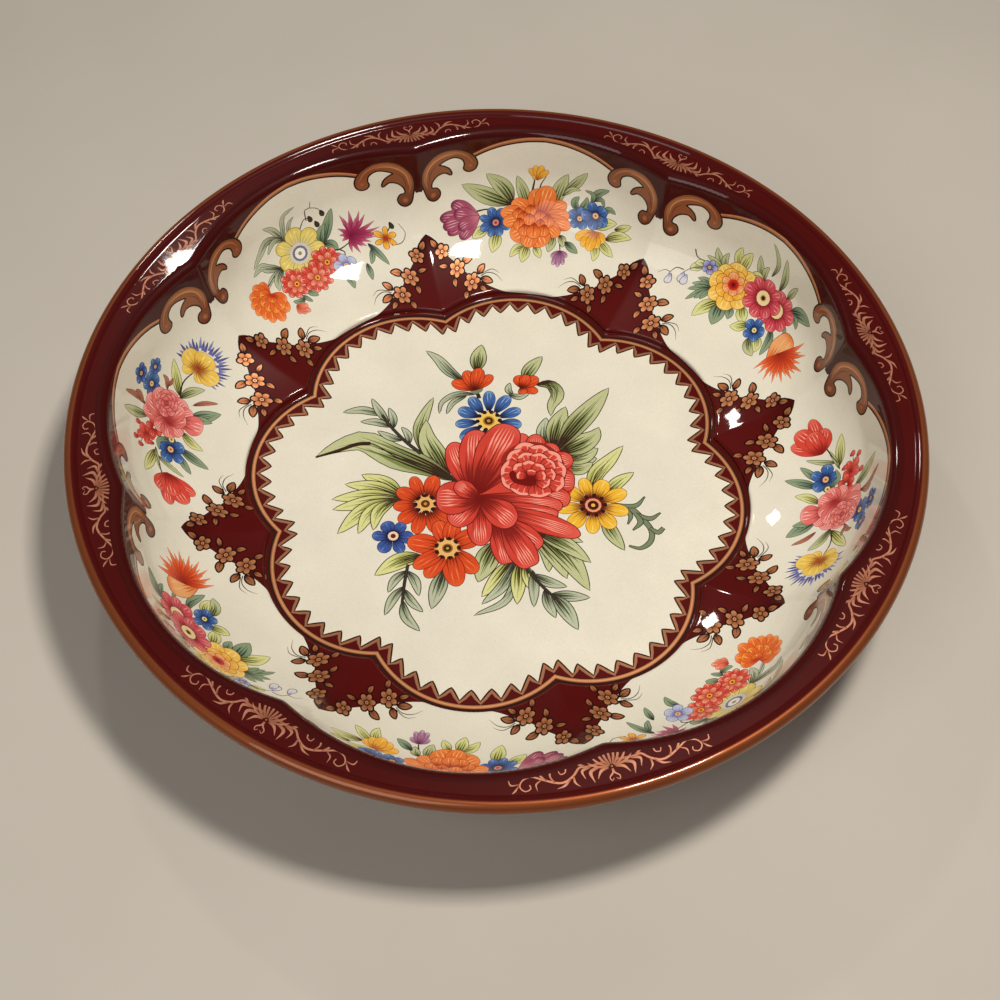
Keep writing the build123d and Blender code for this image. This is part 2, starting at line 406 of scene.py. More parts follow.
def leaf(sheet, points, width, inks, veins=3, rim=0.3):
    """A pointed leaf along a line, hatched from its root. inks are (root, middle, light, outline)."""
    root, middle, light, outline = inks
    line = even(curve(points, spacing=0.5), 15)
    share, full = np.linspace(0, 1, 15), 0.45
    swelling, tapering = np.minimum(share / full, 1), np.maximum((share - full) / (1 - full), 0)
    swell = np.where(share < full, np.sin(swelling * math.pi / 2) ** 0.85,
                     np.cos(tapering * math.pi / 2) ** 0.8)
    half = (swell * width / 2)[:, None]
    side = sides(line)
    whole = np.vstack([line + side * half, (line - side * half)[-2:0:-1]])
    sheet.shape(grown(whole, rim), outline)
    sheet.shape(whole, fade(points, (0.02, root), (0.3, middle * 0.5 + light * 0.5), (0.6, light),
                            (1, light)))
    for k in range(veins):
        v = (k - (veins - 1) / 2) / veins * 1.5
        reach = 11 - int(2.6 * abs(v)) - k % 2
        path = [line[1] + side[1] * half[1] * v * 0.4, line[5] + side[5] * half[5] * v,
                line[reach] + side[reach] * half[reach] * v]
        stroke(sheet, path, (width * 0.16, width * 0.15, 0.03), middle, 1.2)
    for k in range(veins + 1):
        v = (k - veins / 2) / (veins + 1) * 1.6
        reach = 10 - int(3 * abs(v)) - 2 * (k % 2)
        path = [line[0], line[3] + side[3] * half[3] * v * 0.9, line[reach] + side[reach] * half[reach] * v]
        stroke(sheet, path, (width * 0.1, width * 0.08, 0.03), fade(path, (0, root), (1, outline)), 1.2)
    stroke(sheet, line[0:13:3], (width * 0.12, width * 0.06, 0.05), outline, 2.0)


# ---------------------------------------------------------------- the borders

def ring_points(rho, turns):
    """Points of the octofoil at a lobe radius: turns count lobes round, and their parts the sweep."""
    rho, turns = np.broadcast_arrays(np.asarray(rho, float), np.asarray(turns, float))
    lobe = np.floor(turns + 0.5)
    axis = np.radians(lobe * SECTOR)
    across, along = math.sin(math.radians(SECTOR / 2)), math.cos(math.radians(SECTOR / 2))
    cusp = along * LOBE_AXIS + np.sqrt(rho ** 2 - (across * LOBE_AXIS) ** 2)
    half = np.arctan2(cusp * across, cusp * along - LOBE_AXIS)
    sweep = axis + 2 * (turns - lobe) * half
    return np.stack([LOBE_AXIS * np.cos(axis) + rho * np.cos(sweep),
                     LOBE_AXIS * np.sin(axis) + rho * np.sin(sweep)], 1)


TEETH = 10  # on each lobe
TOOTH_RHO, TOOTH_DEPTH, TOOTH_CURVE = 31.0, 3.7, 1.35
ZIGZAG = ink(150, 102, 78, 0.35)
PAST_CUSP = 1e-6  # so that no point falls exactly on a cusp


def toothed_ring(sheet):
    """The copper line and the lace inside it, laid from the outside in, each on the middle of the last."""
    fine = np.arange(-0.5, LOBES - 0.5, 1 / (TEETH * 8)) + PAST_CUSP
    tooth = np.abs((fine + 0.5) * TEETH % 1 - 0.5) * 2
    lace = ring_points(TOOTH_RHO - TOOTH_DEPTH * (1 - tooth ** TOOTH_CURVE), fine)
    for rho, colour in ((33.75, DARK_COPPER), (33.6, COPPER), (33.3, PALE_COPPER), (32.85, COPPER),
                        (32.5, DEEP), (32.3, MAROON)):
        sheet.shape(ring_points(rho, fine), colour)
    for by, colour in ((1.5, DEEP), (1.36, ZIGZAG), (1.05, COPPER * 0.5 + ZIGZAG * 0.5), (0.5, LINE),
                       (0.0, CREAM)):
        sheet.shape(grown(lace, by) if by else lace, colour)


SCROLL_INK = ink(150, 92, 58, 0.35)
SCROLL = [(34.6, 39.9), (36.3, 41.2), (37.3, 44.5), (37.9, 48), (37.2, 51.6), (34.6, 54.9), (31.2, 56.6),
    (27, 56.6), (23.6, 55.1), (21.2, 52.8), (20.3, 50.2), (21.1, 48.1), (22.9, 47.6), (24.2, 48.8),
    (23.9, 50.6), (24.6, 52.6), (27, 54), (29.8, 53.6), (32.2, 52.3), (30.6, 51.2), (29, 49.7),
    (28.4, 47.6), (30.4, 49), (33, 48.5), (34.9, 46.4), (35, 44.3), (33.4, 43.7), (32.5, 42), (33.1, 40.4)]
NOTCH = [(39.26, 44.9), (37.6, 45.0), (37.8, 48), (36.8, 52)]
SCALLOP = [(21.6, 53.4), (17, 55.4), (12, 57.0), (6, 58.3), (0, 58.9)]
FIELD = [(0, 1.5), (8, 1.95), (12, 2.9), (16, 4.6), (19, 6.4), (22, 8.6), (25.5, 11), (28, 14), (30.5, 17),
         (32.8, 19.8), (34.4, 23), (35.9, 25.6), (37.6, 27.9), (39.26, 29.4)]
# Each blossom's x, y, size, petals and turn; each spray leaf's root x, y, tip x, y and width
BLOSSOMS = [(34.5, 22.3, 2.5, 5, 12), (29.8, 14.8, 3.05, 6, 40), (24.4, 8.5, 3.2, 6, 0)]
SPRAY_LEAVES = [(20.4, 9.0, 15.9, 6.9, 2.0), (21.4, 10.9, 19.0, 13.7, 2.1), (26.9, 6.0, 27.6, 3.2, 1.9),
                (21.2, 6.3, 18.4, 3.9, 1.5), (31.3, 11.9, 31.4, 8.8, 1.7), (27.5, 16.2, 23.5, 17.2, 2.2),
                (33.2, 16.6, 36.6, 17.8, 1.3), (36.2, 24.4, 38.0, 27.4, 1.7)]


def copper_blossom(sheet, x, y, radius, count, turn):
    """A small printed blossom of round petals about a ring."""
    wide = 0.36 if count == 5 else 0.31
    ovals = []
    for k in range(count):
        a = math.radians(turn + 360 * k / count)
        px, py = x + radius * 0.66 * math.cos(a), y + radius * 0.66 * math.sin(a)
        ovals.append([(px + radius * (0.37 * math.cos(b) * math.cos(a) - wide * math.sin(b) * math.sin(a)),
                       py + radius * (0.37 * math.cos(b) * math.sin(a) + wide * math.sin(b) * math.cos(a)))
                      for b in np.radians(np.arange(0, 360, 36))])
    for oval in ovals:
        sheet.shape(grown(oval, 0.55), DEEP)
    for oval in ovals:
        tip = 2 * np.mean(oval, 0) - np.array([x, y])
        sheet.shape(oval, ramp((x, y), tip, (0.15, DARK_COPPER), (0.45, COPPER), (1, PALE_COPPER)))
    eye(sheet, (x, y), radius * 0.27, [(1.2, DEEP), (0.8, PALE_COPPER), (0.35, DARK_COPPER)])


def wall_border(sheet):
    """What is the same on each lobe of the wall: the maroon star halves below and scrolls above."""
    top, side = WALL_TOP + 1, HALF + 1
    for flip in (False, True):
        sheet.put(flip=flip)
        field = np.vstack([curve(FIELD, spacing=1.2), [(side, 29.4), (side, -1), (-0.5, -1), (-0.5, 1.5)]])
        sheet.shape(grown(field, 0.35), LINE)
        sheet.shape(field, ramp((HALF, 0), (HALF, 29), (0, MAROON), (0.6, MAROON),
            (1, DEEP * 0.5 + MAROON * 0.5)))
        sheet.shape([(-0.5, -1), (-0.5, 0.45), (side, 0.45), (side, -1)], LINE)
        brow = curve(SCALLOP, spacing=1.2)
        notch = curve(NOTCH, spacing=1.2)
        above = np.vstack([notch, [(30, 55), (24, 54.5)], brow,
                           [(-0.5, 58.9), (-0.5, top), (side, top), (side, 44.9)]])
        sheet.shape(above, MAROON * 0.45 + DEEP * 0.55)
    for flip in (False, True):
        sheet.put(flip=flip)
        stroke(sheet, [(x, y - 0.75) for x, y in SCALLOP], (0.9, 0.9), LINE)
        stroke(sheet, SCALLOP, (0.9, 1.25, 1.3), COPPER)
        stroke(sheet, [(x, y + 0.2) for x, y in SCALLOP], (0.3, 0.45, 0.5), PALE_COPPER)
        stroke(sheet, [(38.2, 44.6), (39.5, 44.9)], (0.5, 0.6), LINE)
        scroll = curve(SCROLL, True, 0.7)
        sheet.shape(grown(scroll, 0.5), LINE)
        sheet.shape(scroll, ramp((36, 41), (26, 56), (0, DARK_COPPER), (0.4, SCROLL_INK), (0.8, SCROLL_INK),
                                 (1, SCROLL_INK * 0.6 + DARK_COPPER * 0.4)))
        stroke(sheet, [(36.2, 44.4), (36.9, 48), (36.1, 51.4), (33.6, 54.2), (30, 55.6), (26.4, 55.4),
            (23.2, 53.4), (21.4, 50.4)], (0.1, 0.8, 1.1, 1.2, 1.1, 0.9, 0.7, 0.1), COPPER)
        stroke(sheet, [(36.4, 47), (35.9, 51), (33.5, 53.8), (30, 55.1), (26.4, 54.9)],
            (0.05, 0.4, 0.5, 0.4, 0.05), PALE_COPPER)
        stroke(sheet, [(32.6, 52.6), (34.9, 50.2), (35.6, 46.6)], (0.05, 0.45, 0.1), DARK_COPPER)
        eye(sheet, (34.7, 41.8), 1.0, [(1, SCROLL_INK), (0.55, COPPER)])
        eye(sheet, (22.3, 49.6), 0.9, [(1, SCROLL_INK), (0.55, COPPER)])
        for path in ([(20.6, 9.9), (17.6, 10.6), (14.4, 9.4), (11.6, 6.6)],
            [(20.2, 10.6), (16, 11.6), (13, 9.9)]):
            stroke(sheet, path, (0.34, 0.28, 0.06), LINE)
        for x, y, tip_x, tip_y, width in SPRAY_LEAVES:
            path = [(x, y), ((x + tip_x) / 2 + 0.15, (y + tip_y) / 2 + 0.1), (tip_x, tip_y)]
            leaf(sheet, path, width, (DEEP, DARK_COPPER, COPPER, DEEP), veins=0, rim=0.5)
        for blossom in BLOSSOMS:
            copper_blossom(sheet, *blossom)
    sheet.put()


# On the rim's layout y is the radius; each vine is its line and its widths along it
VINE_WIDTH = 0.72
FAN = [(0, 111.9), (1.9, 112.7), (3.4, 113.6), (4.9, 115.2), (6.0, 116.9)]
VINES = [([(1.6, 117.4), (6, 117.8), (8.3, 117.7), (10.2, 119.6), (12.6, 121), (15, 120.9), (18.4, 119.6),
    (21, 118.7), (23.3, 119.6), (24, 121.4), (22.7, 122.6), (21.3, 121.9), (21.6, 120.9)],
    (0.9, 0.8, 0.8, 0.7, 0.5, 0.4)), ([(1, 119.1), (3, 119.7), (4.3, 121.7)], (0.9, 1.1, 0.1)),
    ([(3.2, 118.4), (5.7, 119.5), (5.2, 122.5)], (0.9, 1.3, 0.1)), ([(5.5, 118), (7.8, 118.8),
    (7.3, 121.1)], (0.7, 1.1, 0.1)), ([(0, 119.2), (0.2, 120.8), (1.3, 121.9), (1, 122.9), (0.3, 122.3)],
    (0.7, 0.6, 0.4, 0.2)), ([(10.2, 119.7), (10.1, 121.6), (9, 122.8)], (0.5, 0.8, 0.1)),
    ([(11, 120.3), (12.8, 122), (14.8, 122.6)], (0.5, 0.9, 0.1)), ([(15.2, 120.9), (16.2, 119), (15.6, 117),
    (13.9, 115.9), (12.2, 116.7), (12.1, 118.3), (13.4, 118.8), (13.9, 117.8)], (0.6, 0.6, 0.6, 0.5, 0.3)),
    ([(17.2, 120.1), (18.7, 118.5), (18.9, 116.6)], (0.5, 0.8, 0.1)), ([(18.4, 119.7), (19.9, 120.9),
    (19.7, 122.7)], (0.4, 0.6, 0.1)), ([(6.8, 117.6), (8.7, 116.4), (8.8, 114.5)], (0.5, 1.0, 0.1)),
    ([(24.3, 121), (25.2, 122.4), (26.2, 123.3)], (0.3, 0.7, 0.1)), ([(24.1, 120.6), (26.3, 120.8),
    (27, 118.7)], (0.3, 0.6, 0.1))]


def rim_border(sheet):
    """The vine on the flat rim over each star: a palmette with scrolls to both sides."""
    gold, shade = ink(184, 126, 100, 0.3), ink(140, 84, 60, 0.3)
    for flip in (False, True):
        sheet.put(flip=flip)
        for path, widths in VINES:
            colour = fade(path, (0, shade), (0.5, gold), (1, gold))
            stroke(sheet, path, [VINE_WIDTH * w for w in widths], colour, 0.6)
        for x, y in FAN:
            path = [(0.1 * x, 118.9), (0.62 * x, (118.9 + y) / 2 + 0.5), (x, y)]
            stroke(sheet, path, (0.2, 0.62, 0.6, 0.08), fade(path, (0, shade), (1, gold)), 0.8)
    sheet.put()
    eye(sheet, (0, 119), 0.7, [(1, DEEP), (0.5, shade)])


# ---------------------------------------------------------------- the centre bouquet

OLIVE = (BARK, ink(122, 134, 78), ink(188, 192, 144), ink(54, 44, 30))
LIME = (ink(62, 42, 24), ink(158, 164, 82), ink(214, 214, 146), ink(62, 52, 32))
SAGE = (ink(46, 40, 32), ink(118, 132, 100), ink(184, 190, 162), ink(58, 56, 46))
TEAL = (ink(50, 36, 30), ink(72, 100, 84), ink(138, 156, 124), ink(48, 52, 40))
CORAL = (ink(112, 18, 14), ink(204, 66, 52), ink(220, 92, 78), ink(112, 20, 18), ink(242, 156, 138))
TANGERINE = (ink(82, 16, 10), ink(212, 74, 34), ink(222, 94, 46), ink(100, 24, 14), ink(238, 132, 78))
CORNFLOWER = (ink(22, 22, 44), ink(62, 98, 160), ink(122, 160, 206), ink(38, 54, 100), ink(172, 198, 224))
SUNNY = (ink(120, 38, 18), ink(232, 180, 54), ink(242, 204, 92), ink(146, 84, 34), ink(250, 226, 148))

CENTRE_LEAVES = [
    (OLIVE, 5.2, [(-13.2, 45), (-13.4, 51), (-13.2, 56.6)]),
    (SAGE, 3.6, [(-16.5, 40.5), (-22, 43.6), (-27, 48.5), (-31.3, 51.3)]),
    (OLIVE, 4.4, [(3, 43), (4.4, 48.5), (7.8, 54.6)]),
    (OLIVE, 4.2, [(7.2, 42.4), (12, 43.2), (15, 39.5), (13.6, 34.5), (13.8, 30.4)]),
    (SAGE, 1.7, [(-12, 35.6), (-18.5, 34.6), (-22.6, 30.6), (-22.8, 26)]),
    (SAGE, 1.7, [(-15, 34.6), (-19, 31), (-20.4, 26.2)]),
    (SAGE, 1.9, [(0.2, 37), (-1.6, 39), (-1.4, 41.8)]),
    (SAGE, 2.0, [(-1, 37), (2.4, 36.6), (5.4, 38.4)]),
    (OLIVE, 3.8, [(-25.5, 9), (-28.2, 18), (-27.4, 25), (-25.8, 32)]),
    (OLIVE, 6.8, [(-15.5, 1), (-20.5, 8.5), (-25, 15), (-26.6, 22.5)]),
    (OLIVE, 9.0, [(-13, 0), (-24, 4.4), (-34, 6.6), (-45, 11.2), (-52, 8.6), (-59.2, 3.4)]),
    (SAGE, 2.7, [(-41, 22.5), (-48, 23.6), (-54.2, 21.8)]),
    (SAGE, 2.5, [(-38.6, 19.6), (-42.6, 24), (-45.9, 28.6)]),
    (SAGE, 2.3, [(-36.6, 18), (-37.6, 22), (-39.6, 25.6)]),
    (SAGE, 2.5, [(-37.6, 18.2), (-42.6, 19.4), (-47.7, 18.8)]),
    (SAGE, 2.3, [(-33, 13.4), (-37, 14), (-41.5, 15.8)]),
    (SAGE, 2.1, [(-30.4, 12.4), (-31.6, 16), (-34, 18.5)]),
    (LIME, 5.0, [(-29, -8.4), (-35, -4.4), (-43.4, -2)]),
    (LIME, 4.6, [(-29, -8.8), (-38, -6.2), (-48, -6.4)]),
    (LIME, 4.6, [(-29, -9.2), (-40, -9.6), (-51, -12.6)]),
    (LIME, 4.6, [(-29, -9.6), (-39, -12), (-50, -16.4)]),
    (LIME, 5.4, [(-30, -10), (-40, -15.4), (-46.8, -25)]),
    (LIME, 4.4, [(-31, -10), (-38, -16), (-40.4, -24)]),
    (LIME, 3.8, [(-31, -10), (-35.6, -15), (-36, -22)]),
    (LIME, 5.4, [(-18.5, -29.5), (-25.6, -32), (-32.4, -38.2)]),
    (SAGE, 2.5, [(-23, -35.4), (-26, -39), (-27.3, -43.6)]),
    (SAGE, 2.7, [(-23, -35.4), (-19.8, -38.6), (-17.8, -43.4)]),
    (SAGE, 2.7, [(-22.8, -41), (-25.4, -45.6), (-26.9, -51.6)]),
    (SAGE, 2.5, [(-22.6, -42), (-19.6, -46), (-15.7, -48.9)]),
    (SAGE, 2.9, [(-22.4, -46), (-20.4, -51.4), (-15.6, -55.5)]),
    (SAGE, 5.0, [(-11.4, -33), (-12.4, -40), (-13.2, -47.4)]),
    (OLIVE, 7.2, [(3.4, -20.5), (1.2, -27), (-0.6, -36)]),
    (LIME, 4.6, [(9, -26), (5.2, -34), (1.4, -41)]),
    (SAGE, 3.2, [(9.6, -27), (7.4, -36), (1.8, -43.6)]),
    (SAGE, 2.2, [(10.4, -29), (9, -41), (0, -47.9)]),
    (LIME, 4.4, [(11, -27), (11.8, -35), (12.4, -42)]),
    (LIME, 3.4, [(13, -28), (14.4, -32), (15, -35.8)]),
    (SAGE, 2.9, [(15.6, -29.6), (16.8, -36), (17.6, -42.2)]),
    (SAGE, 3.2, [(15.4, -31), (21, -33), (26.6, -33.8)]),
    (SAGE, 3.4, [(22, -37.4), (28, -37), (34, -36.6)]),
    (SAGE, 3.2, [(20.2, -35.6), (22, -40.6), (24.6, -45)]),
    (SAGE, 4.6, [(22.4, -37.2), (27, -41.6), (31.8, -48.1)]),
    (OLIVE, 3.6, [(14, -15), (22, -15.2), (29.7, -17)]),
    (OLIVE, 4.4, [(14, -16.4), (19, -22), (20.6, -29.2)]),
    (OLIVE, 5.8, [(14, -16), (21.4, -22.4), (26.4, -30.8)]),
    (OLIVE, 6.8, [(14, -15.6), (25, -22.4), (33.8, -34)]),
    (OLIVE, 5.2, [(14, -15.2), (24, -18.4), (33, -24)]),
    (SAGE, 4.6, [(14, 18), (12.4, 23), (12.4, 29.2)]),
    (OLIVE, 5.4, [(20, 13), (26, 14), (30.6, 15.4)]),
    (OLIVE, 4.2, [(20, 11), (25.6, 10.4), (29.6, 13.6)]),
    (OLIVE, 5.6, [(19, 14), (26, 15.6), (30.6, 19.4)]),
    (OLIVE, 7.0, [(18.4, 16), (24.6, 20), (28.8, 24.2), (30, 27.8)]),
    (OLIVE, 6.4, [(16, 17.6), (16.4, 26), (18.2, 34.6)]),
    (OLIVE, 7.2, [(17.6, 17), (22, 27), (26, 34), (31.6, 44.6)]),
    (LIME, 5.0, [(30.4, 0), (31, 9), (35, 15.6), (38.6, 21.6)]),
    (LIME, 4.0, [(34.6, 1), (38, 6.6), (43, 11.6)]),
    (OLIVE, 4.4, [(35, -6), (38.2, -12), (43, -18)]),
]
CENTRE_STEMS = [(BARK, (1.0, 0.9, 0.7, 0.2), [(-43, 10.6), (-47.4, 9.6), (-53, 6.2), (-59.6, 2.6)]),
    (SAGE[3], (0.9, 0.7, 0.5), [(-26, 9), (-32, 13.2), (-38, 18.6), (-41.4, 22.6)]),
    (SAGE[3], (0.5, 0.6, 0.4), [(-23, -33), (-22.9, -40), (-22.4, -47)]), (SAGE[3], (0.7, 0.6, 0.5),
    [(13.5, -29), (18.4, -34), (24, -38.6)]), (OLIVE[3], (0.9, 0.7), [(-10.6, 34), (-11.6, 36),
    (-13, 37.4)]), (SAGE[1], (0.8, 1.7, 1.5, 1.4, 0.3), [(37, -1.4), (43, -2.2), (47.2, -5.4), (50.6, -9.4),
    (50.8, -13.6), (48, -16.6), (44.2, -16.3)]), (SAGE[1], (1.0, 1.3, 0.1),
    [(40, -1.7), (45, -0.9), (47.5, 2.9)]), (SAGE[1], (0.9, 1.4, 0.1), [(46, -4.4), (50, -5.2),
    (53, -2.5)]), (SAGE[1], (0.7, 1.3, 0.1), [(41.6, -2.2), (43.7, -5), (43.1, -8.4)]),
    (SAGE[1], (0.9, 1.7, 0.1), [(45, -3.8), (47, -7), (44.9, -10.4)]), (SAGE[1], (0.5, 1.5, 1.0),
    [(50, -8.6), (52.8, -10), (54.4, -8)]),]
PEONY = [  # base, tip, width, notch, bend
    ((-6, -4), (-16.6, 14.8), 8.4, 0.0, 0.10), ((-7, -3), (-9.6, 21.4), 10.0, 0.02, 0.04),
    ((-5, -3), (6.5, 21.5), 9.0, 0.0, -0.05), ((-6, -3), (1.4, 25.4), 12.6, 0.03, 0.06),
    ((12, 8), (9.8, 22), 7.0, 0.0, 0.0), ((12, 8), (16.4, 19), 7.4, 0.0, 0.0),
    ((12, 8), (22.6, 14.8), 7.6, 0.0, 0.0), ((10, 4), (25.2, 5.4), 9.6, 0.05, 0.1),
    ((6, 0), (24.4, -2.4), 8.0, 0.03, 0.12), ((-5, -5), (22.6, -4.6), 6.6, 0.03, 0.02),
    ((-3, -8), (22.2, -8.2), 5.4, 0.06, 0.03), ((-2, -9), (28.6, -14.6), 7.2, 0.0, 0.10),
    ((2, -12), (17.4, -21.6), 8.0, 0.05, 0.05), ((1, -13), (8, -28.8), 7.4, 0.05, 0.05),
    ((4, -13), (15.6, -29), 8.8, 0.06, 0.0), ((-4.6, -7), (-1.6, -22.8), 7.6, 0.0, -0.05),
    ((-4.2, -6), (7.4, -13.8), 9.6, 0.0, 0.18), ((-4.6, -6), (-12, -16.4), 8.6, 0.0, -0.10),
    ((-4.6, -5.6), (-18.6, -7.4), 12.4, 0.03, -0.04), ((-5, -5), (-13, -0.8), 6.0, 0.0, 0.1),
]
HEART = [  # base, tip, width, from the back to the front
    ((10, 9), (6.0, 18.2), 7.4), ((11, 9), (12.4, 18.0), 7.2), ((13, 9), (18.2, 15.4), 7.0),
    ((14, 7), (21.2, 10.2), 6.8), ((14, 5), (21.4, 3.4), 6.4), ((9, 9), (2.6, 13.8), 7.0),
    ((8, 6), (0.6, 7.0), 8.4),
    ((7, 5), (2.2, 0.8), 6.4), ((9, 4), (7.6, -2.2), 7.2), ((13, 4), (14.6, -2.2), 7.4),
    ((10, 8), (7.0, 14.2), 5.6), ((12, 8), (12.4, 14.8), 5.6),
    ((13, 8), (17.0, 12.0), 5.2), ((13, 6), (18.2, 7.4), 4.8), ((12, 5), (16.6, 2.8), 4.6)]
HOLLOW = [(3.4, 5.8), (6, 7.2), (9.6, 6.6), (12.4, 4.2), (11.4, 1.8), (8, 1.6), (4.8, 2.6)]
CORE = [((9.4, 5.6), (4.8, 9.2), 4.2), ((10, 6), (8.8, 11.4), 4.2), ((11, 6), (13.4, 10.4), 4.2),
        ((11.4, 5.4), (15.2, 6.4), 3.8), ((9.4, 5), (5.8, 5.4), 3.2), ((10.4, 5.2), (10.4, 8.0), 3.0)]


def centre_bouquet(sheet):
    """Flowers on the flat of the well, in plan millimetres."""
    for inks, width, points in CENTRE_LEAVES:
        leaf(sheet, points, width, inks, veins=4 if width > 5 else 3 if width > 3 else 1)
    for colour, widths, points in CENTRE_STEMS:
        stroke(sheet, points, [w + 0.5 for w in widths], LINE)
        stroke(sheet, points, widths, colour)
    hub = (-12.8, 37.4)
    sheet.shape(curve([(-15, 38), (-12.8, 35.6), (-10.2, 37), (-10.4, 39.4), (-13, 38.6)], True), SAGE[1])
    for tip, width in (((-20.6, 39.6), 4.2), ((-7.8, 44.2), 3.8), ((-16.8, 44.8), 4.2),
        ((-12.4, 46.6), 4.6)):
        petal(sheet, hub, tip, width, TANGERINE)
    for tip, width in (((8.2, 39.6), 3.2), ((3.8, 38), 3.0), ((0.9, 45.4), 4.0), ((7.4, 45.6), 4.4),
        ((4.0, 46), 3.6)):
        petal(sheet, (2.6, 40.6), tip, width, TANGERINE)
    flower(sheet, (-6.2, 25.3), 11.6, 11, CORNFLOWER, turn=163, width=4.4, inner=0.34, lines=3, shine=2)
    eye(sheet, (-6.2, 25.3), 3.2, [(1, ink(232, 196, 96)), (0.62, ink(176, 120, 44)), (0.45, BARK),
                                   (0.2, ink(190, 140, 50))], dots=10, dot=0.26, rays=10)
    flower(sheet, (31.5, -2.8), 11.2, 9, SUNNY, turn=75, width=5.2, inner=0.25, lines=4, shine=1)
    eye(sheet, (31.5, -2.8), 3.3, [(1.1, ink(96, 26, 18)), (0.8, ink(222, 150, 110)),
        (0.55, ink(70, 20, 16)), (0.2, ink(228, 180, 70))], dots=9, dot=0.24, rays=9)
    flower(sheet, (-21.4, -10.3), 10.8, 10, TANGERINE, turn=12, width=5.0, inner=0.25, lines=3, shine=1)
    eye(sheet, (-21.4, -10.0), 2.7, [(1, ink(226, 176, 104)), (0.55, ink(96, 50, 24)),
                                     (0.2, ink(190, 150, 60))], dots=8, dot=0.27, rays=8)
    flower(sheet, (-29.4, -23.6), 6.3, 6, (ink(18, 20, 60), ink(58, 84, 150), ink(92, 120, 182),
        ink(30, 40, 88), ink(134, 156, 206)), turn=5, width=4.4, inner=0.2, lines=2, shine=1)
    eye(sheet, (-29.4, -23.4), 1.7, [(1.3, ink(26, 22, 60)), (1, ink(236, 204, 178)),
        (0.5, ink(90, 40, 20))])
    for tip, width in (((-24.6, -24.6), 7.0), ((-16.6, -16), 5.6), ((-11.4, -14.8), 5.4),
        ((-2.4, -18.4), 6.8), ((-1.4, -32.6), 6.2), ((-6.6, -38.4), 6.6), ((-16.6, -36.8), 5.2),
        ((-21, -33.8), 5.2)):
        petal(sheet, (-11.6, -25.1), tip, width, TANGERINE, lines=4, shine=2)
    eye(sheet, (-11.8, -25.4), 3.1, [(1, ink(228, 182, 108)), (0.56, ink(150, 92, 40)),
                                     (0.4, BARK), (0.16, ink(190, 150, 60))], dots=9, dot=0.24, rays=9)
    body = curve([(-5, -6), (-6, 2), (-2, 12), (4, 19), (10, 20.6), (17, 17.6), (22, 12), (24.6, 5),
        (23, -2), (20, -8), (12, -12), (4, -14), (-3, -10)], True, 1.0)
    sheet.shape(body, CORAL[1])
    for base, tip, width, notch, bend in PEONY:
        petal(sheet, base, tip, width, CORAL, notch=notch, bend=bend, lines=7, shine=6, rim=0.32)
    sheet.shape(curve([(0, 10), (3, 16), (9, 19), (15, 18), (20, 13), (21.5, 6), (18, 0), (11, -1.4),
        (4, 1)], True, 1.0), CORAL[1] * 0.3 + CORAL[0] * 0.7)
    for base, tip, width in HEART:
        petal(sheet, base, tip, width, CORAL, full=0.68, lines=4, shine=2, rim=0.28, lip=0.14)
    sheet.shape(curve(HOLLOW, True, 0.8), CORAL[0])
    for base, tip, width in CORE:
        petal(sheet, base, tip, width, CORAL, full=0.68, lines=2, shine=0, rim=0.24, lip=0.2)


# ---------------------------------------------------------------- the four bouquets of the wall

PEACH = (ink(170, 52, 24), ink(228, 118, 52), ink(238, 144, 78), ink(138, 46, 26), ink(248, 186, 128))
AMBER = (ink(176, 84, 28), ink(236, 172, 58), ink(246, 200, 96), ink(150, 84, 34), ink(252, 226, 150))
PLUM = (ink(196, 120, 136), ink(164, 78, 104), ink(112, 36, 70), ink(92, 30, 54), ink(228, 182, 186))
ROSY = (ink(128, 20, 32), ink(206, 74, 86), ink(228, 130, 130), ink(146, 34, 46), ink(246, 186, 178))
ROSE = (ink(160, 42, 46), ink(222, 112, 106), ink(240, 166, 156), ink(158, 56, 58), ink(250, 208, 198))
POPPY = (ink(142, 26, 22), ink(212, 72, 58), ink(228, 112, 92), ink(136, 34, 30), ink(244, 170, 150))
NARCISSUS = (ink(206, 196, 160), ink(226, 206, 112), ink(216, 186, 78), ink(134, 118, 60),
    ink(246, 236, 178))
VIOLET = (ink(60, 60, 116), ink(104, 106, 168), ink(150, 152, 200), ink(60, 60, 110), ink(196, 198, 226))
MAUVE = (ink(96, 44, 76), ink(164, 112, 144), ink(212, 180, 196), ink(100, 56, 84), ink(236, 216, 224))
ASTER = (ink(116, 22, 54), ink(164, 52, 90), ink(206, 124, 148), ink(116, 30, 62), ink(230, 176, 190))
RUSSET = (ink(120, 58, 40), ink(150, 82, 62), ink(178, 116, 92), ink(96, 48, 36))


def leaves(sheet, inks, rows, rim=0.16):
    """Several leaves of one colour: each row is a width and the points of its line."""
    for width, *points in rows:
        leaf(sheet, points, width, inks, veins=2 if width > 2.8 else (1 if width > 1.8 else 0), rim=rim)


def stems(sheet, colour, rows):
    """Several thinning stems of one colour: each row is a width and the points of its line."""
    for width, *points in rows:
        stroke(sheet, points, (width, width * 0.8, width * 0.5), colour)


def fan(sheet, base, inks, rows, lines=2, shine=1, rim=0.13):
    """Petals from one base: each row is a tip's place and the petal's width."""
    for x, y, width in rows:
        petal(sheet, base, (x, y), width, inks, lines=lines, shine=shine, rim=rim)


